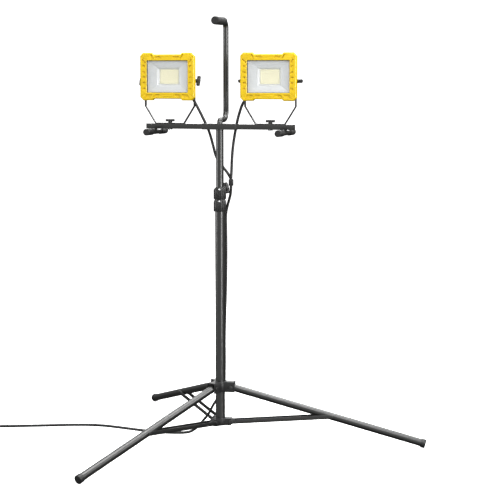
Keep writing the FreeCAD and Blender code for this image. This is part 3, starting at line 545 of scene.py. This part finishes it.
# ---- routes of the cords -----------------------------------------------------------------------
LEADS = {
    "left": [(-111.4, 26.0, 1031.0), (-103.6, 26.0, 1023.2), (-97.0, 26.0, 1013.0),
             (-88.62, 24.88, 1002.0), (-81.0, 25.0, 988.5)],
    "right": [(111.4, 26.0, 1031.0), (102.2, 26.0, 1021.8), (90.5, 26.0, 1014.5),
              (78.5, 25.6, 1008.5), (67.6, 25.0, 999.5), (59.3, 25.0, 986.98), (55.2, 25.0, 974.8)],
}
CABLES = {
    "left": [(-81.0, 25.0, 988.5), (-68.3, 25.2, 966.0), (-56.6, 25.4, 942.5),
             (-45.0, 25.0, 921.0), (-35.8, 24.4, 896.0), (-27.8, 23.6, 868.0),
             (-19.8, 22.6, 838.0), (-8.0, 23.0, 820.0), (4.0, 22.8, 804.5),
             (15.8, 20.5, 792.0), (23.4, 18.9, 781.5), (28.3, 17.5, 773.0)],
    "right": [(55.2, 25.0, 974.8), (48.37, 25.0, 954.5), (43.2, 23.0, 928.5),
              (38.0, 20.0, 897.0), (33.8, 18.0, 866.0), (31.4, 16.6, 832.0),
              (31.6, 12.6, 800.0), (30.7, 9.5, 773.0)],
}
SUPPLY = [(29.5, 13.5, 754.0), (29.5, 13.5, 736.0), (22.8, 18.4, 715.0), (15.6, 21.6, 694.0),
          (9.4, 23.8, 668.0), (11.0, 23.2, 625.0), (11.6, 22.9, 545.0), (10.0, 23.6, 455.0),
          (7.4, 24.6, 375.0), (5.0, 25.2, 300.0), (5.8, 24.9, 252.0), (5.6, 25.1, 219.0),
          (5.1, 25.0, 196.0), (5.0, 25.5, 177.0), (4.6, 26.6, 161.0), (1.0, 27.2, 148.5),
          (-5.0, 25.8, 137.0), (-14.5, 23.2, 125.5), (-23.0, 21.2, 113.5), (-30.4, 20.2, 100.5),
          (-37.5, 20.2, 86.5), (-46.8, 21.5, 71.5), (-59.0, 24.8, 57.0), (-74.0, 31.0, 40.0),
          (-92.0, 41.0, 22.5), (-112.0, 51.5, 9.0), (-140.0, 54.5, 4.0), (-189.0, 42.0, 4.0),
          (-262.0, 49.0, 4.0), (-328.0, 63.0, 4.0), (-410.0, 78.0, 4.0),
          (-495.0, 58.0, 4.0), (-575.0, 22.0, 4.0), (-652.0, -8.0, 4.0), (-706.0, -30.0, 4.0),
          (-757.2, -41.0, 4.0)]
COIL_AT = (-771.0, -92.0)
COIL_OUTER = 51.5
COIL_INNER = 33.0
COIL_START = 102.0           # degrees, where the cord joins its outer turn
COIL_LAYER_TURNS = 2.5
COIL_CLIMB_TURNS = 0.44
COIL_UP = 4.0                # height of the lower layer
COIL_STEP = 8.0
POINTS_PER_TURN = 16
PLUG_ENTRY = [(-768.0, -146.6, 12.8), (-757.5, -149.6, 16.8), (-744.9, -148.0, 18.5),
              (-730.0, -145.4, 18.5)]


def coil_points():
    """Two flat layers of turns, the lower wound inwards and the upper outwards."""
    points = []
    turns = 2 * COIL_LAYER_TURNS + COIL_CLIMB_TURNS
    for i in range(int(turns * POINTS_PER_TURN)):
        turn = i / POINTS_PER_TURN
        inward = min(turn / COIL_LAYER_TURNS, 1)
        outward = max((turn - COIL_LAYER_TURNS - COIL_CLIMB_TURNS) / COIL_LAYER_TURNS, 0)
        climb = min(max((turn - COIL_LAYER_TURNS) / COIL_CLIMB_TURNS, 0), 1)
        radius = COIL_OUTER - (COIL_OUTER - COIL_INNER) * (inward - outward)
        angle = math.radians(COIL_START + 360 * turn)
        points.append((COIL_AT[0] + radius * math.cos(angle), COIL_AT[1] + radius * math.sin(angle),
                       COIL_UP + COIL_STEP * climb))
    return points


def route_curve(name, points, radius):
    """A NURBS curve with the route's points, in millimetres, as its control points."""
    curve = bpy.data.curves.new(name, "CURVE")
    curve.dimensions = "3D"
    curve.resolution_u = 6
    curve.bevel_depth = radius
    curve.bevel_resolution = 5
    curve.use_fill_caps = True
    spline = curve.splines.new("NURBS")
    spline.points.add(len(points) - 1)
    for point, place in zip(spline.points, points):
        point.co = (*(c * MM for c in place), 1)
    spline.order_u = 3
    spline.use_endpoint_u = True
    return curve


def as_mesh(curve):
    holder = bpy.data.objects.new("route", curve)
    mesh = bpy.data.meshes.new_from_object(holder)
    bpy.data.objects.remove(holder)
    return mesh


def cord_piece(name, points, diameter):
    """A mesh tube along a route; returns the piece, the points that it follows and its length."""
    line = [v.co.copy() for v in as_mesh(route_curve(name + "_line", points, 0)).vertices]
    mesh = as_mesh(route_curve(name + "_tube", points, diameter / 2))
    piece = bpy.data.objects.new(name, mesh)
    bpy.context.scene.collection.objects.link(piece)
    with editing(piece):
        face_outwards(MERGE)
    smooth(piece, 50)
    long = sum((b - a).length for a, b in zip(line, line[1:]))
    return piece, line, long


# ---- shapes of the detailed pieces -------------------------------------------------------------
def mm(*values):
    """A place or a distance given in millimetres."""
    return Vector(values) * MM


def outward(angle):
    """The level way at an angle from +X, in degrees."""
    return Vector((math.cos(math.radians(angle)), math.sin(math.radians(angle)), 0))


def put(piece, place, way=None, turn=0):
    """Move a piece that stands on the origin to a place, with its Z axis along a way."""
    matrix = Matrix.Translation(place)
    if way:
        matrix = matrix @ Vector(way).to_track_quat("Z", "Y").to_matrix().to_4x4()
    piece.matrix_world = matrix @ Matrix.Rotation(math.radians(turn), 4, "Z")
    settle(piece)
    return piece


def plate(name, outline, depth):
    """A plate with straight sides between the outline's corners, as thick as the depth."""
    piece = start("circle", name, vertices=len(outline), radius=1, fill_type="NGON")
    for vertex, corner in zip(piece.data.vertices, outline):
        vertex.co = corner
    with editing(piece):
        bpy.ops.mesh.select_all(action="SELECT")
        bpy.ops.mesh.extrude_region_move(TRANSFORM_OT_translate={"value": depth})
        face_outwards()
    return piece


def spun(name, profile, steps=48):
    """A turned piece round Z from (radius, height) points in millimetres, begun and ended on Z."""
    piece = start("circle", name, vertices=len(profile), radius=1)
    for vertex, (radius, height) in zip(piece.data.vertices, profile):
        vertex.co = mm(radius, 0, height)
    with editing(piece, "EDGE"):
        pick(piece, "EDGE", lambda middle, way: abs(middle.x) < 0.01 * MM)
        bpy.ops.mesh.delete(type="EDGE")
        bpy.ops.mesh.select_all(action="SELECT")
        bpy.ops.mesh.spin(steps=steps, angle=math.tau, center=(0, 0, 0), axis=(0, 0, 1))
        face_outwards(0.005 * MM)
    return piece


def ridged(radius, low, high, count, depth):
    """Profile points up a ridged sleeve, from one height to another."""
    pitch = (high - low) / count
    points = []
    for i in range(count):
        base = low + i * pitch
        points += [(radius, base + 0.1 * pitch), (radius, base + 0.55 * pitch),
                   (radius - depth, base + 0.7 * pitch), (radius - depth, base + 0.95 * pitch)]
    return points


def cross_recess(head, across, top, depth):
    """Cut a cross slot into the top of a screw head that stands on the origin."""
    long, wide = across / 2, across / 8
    cut(head, block("slot", mm(-long, -wide, top - depth), mm(long, wide, top + 1)),
        block("slot", mm(-wide, -long, top - depth), mm(wide, long, top + 1)))


def wing_knob(name, stem, width, span, stud_low, stud_high):
    """A wing knob that stands on the origin with its wing along X, and the stud it turns."""
    half, thick = span / 2, WING_THICK / 2
    side = [(half, 0.6 * thick), (0.66 * half, 0.86 * thick), (0.3 * half, thick),
            (-0.3 * half, thick), (-0.66 * half, 0.86 * thick), (-half, 0.6 * thick)]
    outline = side + [(-a, -b) for a, b in side]
    knob = plate(name, [mm(a, b, stem) for a, b in outline], mm(0, 0, width))
    for a in (-0.64 * half, 0.64 * half):
        for b in (-1, 1):
            middle = b * (thick + SCALLOP_R - SCALLOP_DEPTH)
            cut(knob, bar("scallop", SCALLOP_R * MM, mm(a, middle, stem - 1),
                          mm(a, middle, stem + width + 1)))
    post = spun("post", [(0, 0), (5.3, 0), (6, 0.7), (6, stem * 0.6), (5.2, stem + 0.6),
                         (5.2, stem + width - 1), (0, stem + width - 1)])
    fuse(knob, post)
    softened(knob, 0.9 * MM, 3, 28)
    turns = max(2, int((stud_high - stud_low) / 1.25))
    thread = [(0, stud_low), (2.4, stud_low), *ridged(3, stud_low + 0.6, stud_high - 0.6, turns, 0.45),
              (2.4, stud_high), (0, stud_high)]
    stud = spun("stud", thread, 24)
    smooth(stud, 50)
    return together(name, [knob, stud])


def head_place(side, across, depth, up):
    """A place on a head, in millimetres from the middle of its window, at a depth along Y."""
    return mm(SIGN[side] * LAMP_OUT + across, depth, HEAD_UP + up)


def stepped_sheet(name, rings, wall):
    """A pressed sheet through rectangular rings of (half width, half height, depth), walled outwards."""
    piece = start("circle", name, vertices=4, radius=1)
    corners = ((1, 1), (-1, 1), (-1, -1), (1, -1))
    half_width, half_height, depth = rings[0]
    for vertex, (a, b) in zip(piece.data.vertices, corners):
        vertex.co = mm(a * half_width, depth, b * half_height)
    with editing(piece, "EDGE"):
        bpy.ops.mesh.select_all(action="SELECT")
        for half_width, half_height, depth in rings[1:]:
            bpy.ops.mesh.extrude_region_move()
            mesh = bmesh.from_edit_mesh(piece.data)
            for vertex in mesh.verts:
                if vertex.select:
                    vertex.co = mm(math.copysign(half_width, vertex.co.x), depth,
                                   math.copysign(half_height, vertex.co.z))
            bmesh.update_edit_mesh(piece.data)
        face_outwards()
    outwards = piece.data.polygons[0]
    away = outwards.normal.x * outwards.center.x + outwards.normal.z * outwards.center.z
    modify(piece, "SOLIDIFY", thickness=wall * MM, offset=math.copysign(1, away), use_even_offset=True)
    softened(piece, 0.7 * MM, 3, 12)
    return piece


def softened_node(node, width, segments=2, angle=30):
    """A node's own shape with rounded edges, as the finished piece that stands for it."""
    piece = from_node(node, node + "_finished")
    softened(piece, width * MM, segments, angle)
    finish(piece, node)
    return piece


def finish(piece, node):
    """Dress a piece that stands for one node with that node's body and slot."""
    dress(piece, BODY[node], SLOT[node], node)


def notch_outline(sizes, height):
    """A wedge on a side rail that leans more the higher it is."""
    half = sizes.notch_height / MM / 2
    lean = 1.0 + height / 16
    outer = NOTCH_IN + sizes.notch / MM
    return ((NOTCH_IN, height - half), (outer, height - 0.35 * half + lean),
            (outer, height + 0.75 * half + lean), (NOTCH_IN, height + half))


# ---- operators ---------------------------------------------------------------------------------
class WORKLIGHT_OT_finishes(Operator):
    """Make every material and put it on the frame's nodes by their material slot"""
    bl_idname = "work_light.finishes"
    bl_label = "Finishes"

    def execute(self, context):
        for make in MATERIALS:
            make(context.scene.work_light_colours)
        for part in frame["record"]["subparts"]:
            mesh = frame["nodes"][part["node"]].data
            mesh.materials.clear()
            mesh.materials.append(bpy.data.materials[part["material_slot"]])
        return {"FINISHED"}


class WORKLIGHT_OT_bezels(Operator):
    """Mould the yellow bezels: window lip, notches, recesses and the bare name plate"""
    bl_idname = "work_light.bezels"
    bl_label = "Bezels"

    def execute(self, context):
        sizes = context.scene.work_light_sizes
        notches = tuple(notch_outline(sizes, height) for height in NOTCH_HEIGHTS)
        for side in SIDES:
            bezel = from_node("bezel_" + side, "bezel_%s_moulding" % side)
            middle = head_place(side, 0, BEZEL_FACE, 0)
            with editing(bezel, "EDGE"):
                pick(bezel, "EDGE", lambda place, way: abs(place.y - middle.y) < 0.05 * MM
                     and abs(place.x - middle.x) < (WINDOW[0] + 0.2) * MM
                     and abs(place.z - middle.z) < (WINDOW[1] + 0.2) * MM)
                bpy.ops.mesh.bevel(offset=1.5 * MM, segments=1, affect="EDGES")
            cutters = []
            for outlines, depth in ((RECESSES + notches, sizes.notch_depth), (FACET_GROOVES, 0.8 * MM)):
                for outline in outlines:
                    for hand in (-1, 1):
                        corners = [head_place(side, hand * a, BEZEL_FACE - 1, b) for a, b in outline]
                        cutters.append(plate("recess", corners, (0, MM + depth, 0)))
            half, low, high = PLATE_RECESS
            frame_cut = block("plate_recess", head_place(side, -half, BEZEL_FACE - 1, low),
                              head_place(side, half, BEZEL_FACE + 1, high))
            cut(bezel, together("recesses", cutters), frame_cut)
            half, low, high = NAME_PLATE
            fuse(bezel, block("name_plate", head_place(side, -half, BEZEL_FACE - 0.1, low),
                              head_place(side, half, BEZEL_FACE + 2, high)))
            softened(bezel, 0.5 * MM, 2, 25)
            finish(bezel, "bezel_" + side)
        return {"FINISHED"}


class WORKLIGHT_OT_optics(Operator):
    """Press the reflectors, grind the lenses and mould the light sources"""
    bl_idname = "work_light.optics"
    bl_label = "Optics"

    def execute(self, context):
        for side in SIDES:
            middle = head_place(side, 0, 0, 0)
            sheet = stepped_sheet("reflector_%s_sheet" % side, REFLECTOR_RINGS, 0.8)
            finish(put(sheet, middle), "reflector_" + side)
            board = block("light_board_" + side, *(mm(*corner) for corner in LED_BOARD))
            source = block("light_source_" + side, *(mm(*corner) for corner in LIGHT_SOURCE))
            with editing(source):
                pick(source, "FACE", lambda place, normal: normal.y < -0.9)
                bpy.ops.mesh.inset(thickness=1.9 * MM, depth=0)
                bpy.ops.mesh.inset(thickness=0.5 * MM, depth=-0.6 * MM)
            softened(source, 0.25 * MM, 2)
            finish(put(together("light_source_" + side, [source, board]), middle), "led_board_" + side)
            softened_node("lens_" + side, 0.6)
            softened_node("lens_gasket_" + side, 0.3)
        return {"FINISHED"}


class WORKLIGHT_OT_housings(Operator):
    """Cast the finned housings, with their glands and the screws that hold the bezels"""
    bl_idname = "work_light.housings"
    bl_label = "Housings"

    def execute(self, context):
        for side in SIDES:
            softened_node("rear_housing_" + side, 0.8)
            softened_node("cable_gland_" + side, 0.6)
            screws = []
            across, up = CASE_SCREW_AT
            for a in (-across, across):
                for b in (-up, up):
                    screw = spun("screw", [(0, -9.5), (1.2, -9.5), (1.5, -9.1), (1.5, 0), (3.2, 0),
                                           (3.2, 0.9), (2.6, 1.8), (1.4, 2.2), (0, 2.2)], 24)
                    cross_recess(screw, 3.4, 2.2, 1.2)
                    smooth(screw)
                    screws.append(put(screw, head_place(side, a, CASE_SCREW_SEAT, b), Y))
            finish(together("case_screws_%s_turned" % side, screws), "case_screws_" + side)
        return {"FINISHED"}


class WORKLIGHT_OT_knobs(Operator):
    """Mould the wing knobs on the yokes, at the tilt pivots and behind the clamp"""
    bl_idname = "work_light.knobs"
    bl_label = "Wing knobs"

    def execute(self, context):
        for side in SIDES:
            base = wing_knob("base_knob_%s_wing" % side, *BASE_KNOB)
            finish(put(base, mm(SIGN[side] * LAMP_OUT, 0, BASE_KNOB_UP)), "base_knob_" + side)
            for where in SIDES:
                hand = SIGN[where]
                name = "side_knob_%s_%s" % (side, where)
                knob = wing_knob(name + "_wing", *SIDE_KNOB)
                turn = 90 - hand * SIDE_KNOB_LEAN if side == "left" else 0
                place = mm(SIGN[side] * LAMP_OUT + hand * SIDE_KNOB_OUT, 0, PIVOT_UP)
                finish(put(knob, place, X * hand, turn), name)
        clamp = wing_knob("clamp_knob_wing", *CLAMP_KNOB)
        lean = math.radians(CLAMP_KNOB_SIDE)
        away = Vector((math.sin(lean), math.cos(lean), 0))
        place = away * CLAMP_KNOB_OUT * MM + mm(0, 0, CLAMP_KNOB_UP)
        finish(put(clamp, place, away, CLAMP_WING_TURN), "mast_clamp_knob")
        return {"FINISHED"}


class WORKLIGHT_OT_clamp(Operator):
    """Mould the fluted clamp collar and turn its two domed screws"""
    bl_idname = "work_light.clamp"
    bl_label = "Clamp"

    def execute(self, context):
        sizes = context.scene.work_light_sizes
        collar = from_node("mast_clamp_body", "clamp_collar")
        spacing = 360 / sizes.flutes
        flute_r = FLUTE_R * MM
        out = CLAMP_R * MM + flute_r - sizes.rib_depth
        boss_side = 90 - CLAMP_KNOB_SIDE
        low, high = FLUTE_ENDS
        flutes = []
        for i in range(sizes.flutes):
            angle = CLAMP_SCREW_SIDE + (i + 0.5) * spacing
            if abs((angle - boss_side + 180) % 360 - 180) < FLUTES_STOP:
                continue
            side = outward(angle)
            flutes.append(bar("flute", flute_r, side * out + mm(0, 0, low), side * out + mm(0, 0, high), 16))
        cut(collar, together("flutes", flutes))
        softened(collar, 0.6 * MM, 2, 28)
        finish(collar, "mast_clamp_body")
        side = outward(CLAMP_SCREW_SIDE)
        screws = []
        for height in CLAMP_SCREWS_UP:
            screw = spun("screw", [(0, 0), (3.2, 0), (3.2, 3.9), (2.7, 4.6), (1.5, 5.1), (0, 5.3)], 32)
            cross_recess(screw, 3.2, 5.2, 1.1)
            smooth(screw)
            screws.append(put(screw, side * CLAMP_SCREW_IN * MM + mm(0, 0, height), side))
        finish(together("clamp_screws", screws), "mast_clamp_screws")
        return {"FINISHED"}


class WORKLIGHT_OT_tripod(Operator):
    """Finish the hub, the bracket, the struts, the rivets and the rubber feet"""
    bl_idname = "work_light.tripod"
    bl_label = "Tripod"

    def execute(self, context):
        edge = context.scene.work_light_sizes.edge / MM
        plate_edge = context.scene.work_light_sizes.plate_edge / MM
        softened_node("hub_collar", edge)
        softened_node("bottom_bracket", edge)
        softened_node("hub_pins", edge, 3)
        for leg in LEGS:
            softened_node("strut_" + leg, plate_edge)
            softened_node("foot_cap_" + leg, 1.5 * edge, 3)
        return {"FINISHED"}


class WORKLIGHT_OT_crossbar(Operator):
    """Finish the crossbar, its plugs and sleeve, the rests, the grip and the yokes with their bolts"""
    bl_idname = "work_light.crossbar"
    bl_label = "Crossbar and yokes"

    def execute(self, context):
        edge = context.scene.work_light_sizes.edge / MM
        plate_edge = context.scene.work_light_sizes.plate_edge / MM
        softened_node("crossbar", 1.6 * edge, 3)
        softened_node("centre_sleeve", 1.6 * edge, 3)
        softened_node("crossbar_plugs", edge, 3)
        softened_node("handle_grip", edge, 3)
        softened_node("rest_tube_caps", plate_edge, 2)
        softened_node("yoke_bolts", edge, 3)
        for side in SIDES:
            softened_node("yoke_" + side, plate_edge)
        return {"FINISHED"}


class WORKLIGHT_OT_plug(Operator):
    """Mould the mains plug with its ribbed strain relief, and the cords' splitter"""
    bl_idname = "work_light.plug"
    bl_label = "Plug and splitter"

    def execute(self, context):
        relief = [(0, 0), (5.3, 0)]
        for i in range(PLUG_RIBS):
            low = i / PLUG_RIBS
            for share, depth in ((0.05, 0), (0.5, 0), (0.6, 1.1), (0.95, 1.1)):
                along = low + share / PLUG_RIBS
                relief.append((5.5 + 3.5 * along - depth, RELIEF_LONG * along))
        moulding = relief + [(9, RELIEF_LONG), (15.5, RELIEF_LONG), (18.5, 35), (18.5, 40),
                             (17.2, 42), (17.2, 53), (18.5, 55), (18.5, 60.5), (17, 62), (0, 62)]
        body = spun("plug_body", moulding)
        softened(body, 0.5 * MM, 2, 25)
        pieces = [body]
        for side in (-1, 1):
            pin = spun("pin", [(0, 61), (2.4, 61), (2.4, 79.4), (1.6, 81), (0, 81)], 24)
            smooth(pin)
            pieces.append(put(pin, mm(side * PIN_OUT, 0, 0)))
        place = mm(*COIL_AT, PLUG_UP) + outward(PLUG_SIDE) * PLUG_OUT * MM
        plug = put(together("mains_plug_moulding", pieces), place, outward(PLUG_LIE))
        finish(plug, "mains_plug")
        softened_node("cord_splitter", 1.5, 3)
        return {"FINISHED"}


class WORKLIGHT_OT_cords(Operator):
    """Lay the lamp leads, the lamp cables and the supply cord with its coil"""
    bl_idname = "work_light.cords"
    bl_label = "Cords"

    def execute(self, context):
        diameter = context.scene.work_light_sizes.cord
        for side in SIDES:
            name = "lamp_lead_" + side
            lead, line, long = cord_piece(name + "_sheath", LEADS[side], diameter)
            dress(lead, "yoke_" + side, "rubber_cable", name)
            lead.parent = None
            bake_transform(lead)
            name = "lamp_cable_" + side
            cable, line, long = cord_piece(name + "_sheath", CABLES[side], diameter)
            dress(cable, "upper_frame", "rubber_cable", name)
            cable.parent = None
            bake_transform(cable)
        points = SUPPLY + coil_points() + PLUG_ENTRY
        supply, line, long = cord_piece("supply_cord_sheath", points, diameter)
        dress(supply, "mast", "rubber_cable", "supply_cord", "supply_cord_coil")
        supply.parent = None
        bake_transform(supply)
        return {"FINISHED"}


# Name, place, width, height and watts of each softbox.
SOFTBOXES = (
    ("overhead", (0.35, 0.6, 3.3), 2.4, 2.6, 120),
    ("front top", (0.75, -2.0, 2.6), 2.4, 0.75, 44),
    ("right strip", (2.4, -1.35, 1.0), 0.5, 2.2, 48),
    ("rear fill", (-0.7, 3.0, 2.0), 1.8, 1.2, 45),
    ("right rear", (2.5, 1.2, 1.75), 1.3, 1.3, 34),
    ("left strip", (-2.5, -1.0, 1.1), 0.7, 1.8, 26),
)
# Brightness of the studio's walls, from low behind the object to high before it.
WALLS = ((0.0, 0.04), (0.3, 0.08), (0.5, 0.42), (0.62, 0.55), (1.0, 0.7))
WALLS_WAY = (0, -0.45, 0.89)
LIGHTS_AIM = Vector((0, 0, 0.7))
FLOOR_SIZE = 30
BACKDROP_R = 14
SENSOR = 36


def studio_walls(tree):
    """Walls that are bright in front and above and dim behind and below, so that tubes get a dark side."""
    way = add_node(tree, "ShaderNodeTexCoord")
    front = add_node(tree, "ShaderNodeVectorMath", {0: (way, "Generated"), 1: WALLS_WAY},
                     operation="DOT_PRODUCT")
    level = add_node(tree, "ShaderNodeMapRange", {"Value": (front, "Value"), "From Min": -1.0})
    walls = add_node(tree, "ShaderNodeValToRGB", {"Fac": (level, "Result")},
                     stops=[(at, (grey, grey, grey, 1)) for at, grey in WALLS])
    set_inputs(tree, tree.nodes["Background"], {"Color": (walls, "Color")})


class WORKLIGHT_OT_stage(Operator):
    """Set the floor, the soft lights and the camera"""
    bl_idname = "work_light.stage"
    bl_label = "Stage"

    def execute(self, context):
        stage = context.scene.work_light_stage
        floor = start("plane", "floor", size=FLOOR_SIZE)
        backdrop = start("uv_sphere", "backdrop", radius=BACKDROP_R, segments=32, ring_count=16)
        for sheet, finish_name in ((floor, "floor_sheet"), (backdrop, "white_backdrop")):
            sheet.data.materials.append(bpy.data.materials[finish_name])
            sheet.visible_diffuse = sheet.visible_glossy = False
        backdrop.visible_shadow = False
        world = bpy.data.worlds.new("studio")
        world.use_nodes = True
        studio_walls(world.node_tree)
        context.scene.world = world
        context.scene.view_settings.view_transform = "Standard"
        for name, place, wide, tall, power in SOFTBOXES:
            light = bpy.data.lights.new(name, "AREA")
            light.shape = "RECTANGLE"
            light.size = wide
            light.size_y = tall
            light.energy = power
            lamp = bpy.data.objects.new(name, light)
            lamp.location = place
            lamp.rotation_euler = (LIGHTS_AIM - lamp.location).to_track_quat("-Z", "Y").to_euler()
            context.scene.collection.objects.link(lamp)
        lens = bpy.data.cameras.new("camera")
        lens.lens = stage.lens
        lens.sensor_width = SENSOR
        camera = bpy.data.objects.new("camera", lens)
        back = Vector((math.sin(stage.turn), -math.cos(stage.turn), 0))
        along = Vector((math.cos(stage.turn), math.sin(stage.turn), 0))
        camera.location = back * stage.distance + along * stage.aside + Z * stage.height
        camera.rotation_euler = (math.pi / 2 - stage.dip, 0, stage.turn)
        context.scene.collection.objects.link(camera)
        context.scene.camera = camera
        return {"FINISHED"}


class WORKLIGHT_PT_panel(Panel):
    """Lists the steps in order, with the sizes and colours that they read"""
    bl_label = "Work light"
    bl_idname = "WORKLIGHT_PT_panel"
    bl_space_type = "VIEW_3D"
    bl_region_type = "UI"
    bl_category = "Work light"

    def draw(self, context):
        for step in STEPS:
            self.layout.operator(step.bl_idname)
        for group in ("sizes", "colours", "stage"):
            settings = getattr(context.scene, "work_light_" + group)
            for name in settings.__annotations__:
                self.layout.prop(settings, name)


STEPS = (WORKLIGHT_OT_finishes, WORKLIGHT_OT_bezels, WORKLIGHT_OT_optics, WORKLIGHT_OT_housings,
         WORKLIGHT_OT_knobs, WORKLIGHT_OT_clamp, WORKLIGHT_OT_tripod, WORKLIGHT_OT_crossbar,
         WORKLIGHT_OT_plug, WORKLIGHT_OT_cords, WORKLIGHT_OT_stage)
GROUPS = {"sizes": WorkLightSizes, "colours": WorkLightColours, "stage": WorkLightStage}


def register():
    for kind in (*GROUPS.values(), *STEPS, WORKLIGHT_PT_panel):
        bpy.utils.register_class(kind)
    for name, kind in GROUPS.items():
        setattr(bpy.types.Scene, "work_light_" + name, PointerProperty(type=kind))


def unregister():
    for name in GROUPS:
        delattr(bpy.types.Scene, "work_light_" + name)
    for kind in (WORKLIGHT_PT_panel, *STEPS[::-1], *GROUPS.values()):
        bpy.utils.unregister_class(kind)


def main():
    register()
    for step in STEPS:
        group, name = step.bl_idname.split(".")
        getattr(getattr(bpy.ops, group), name)()


if __name__ == "__main__":
    main()
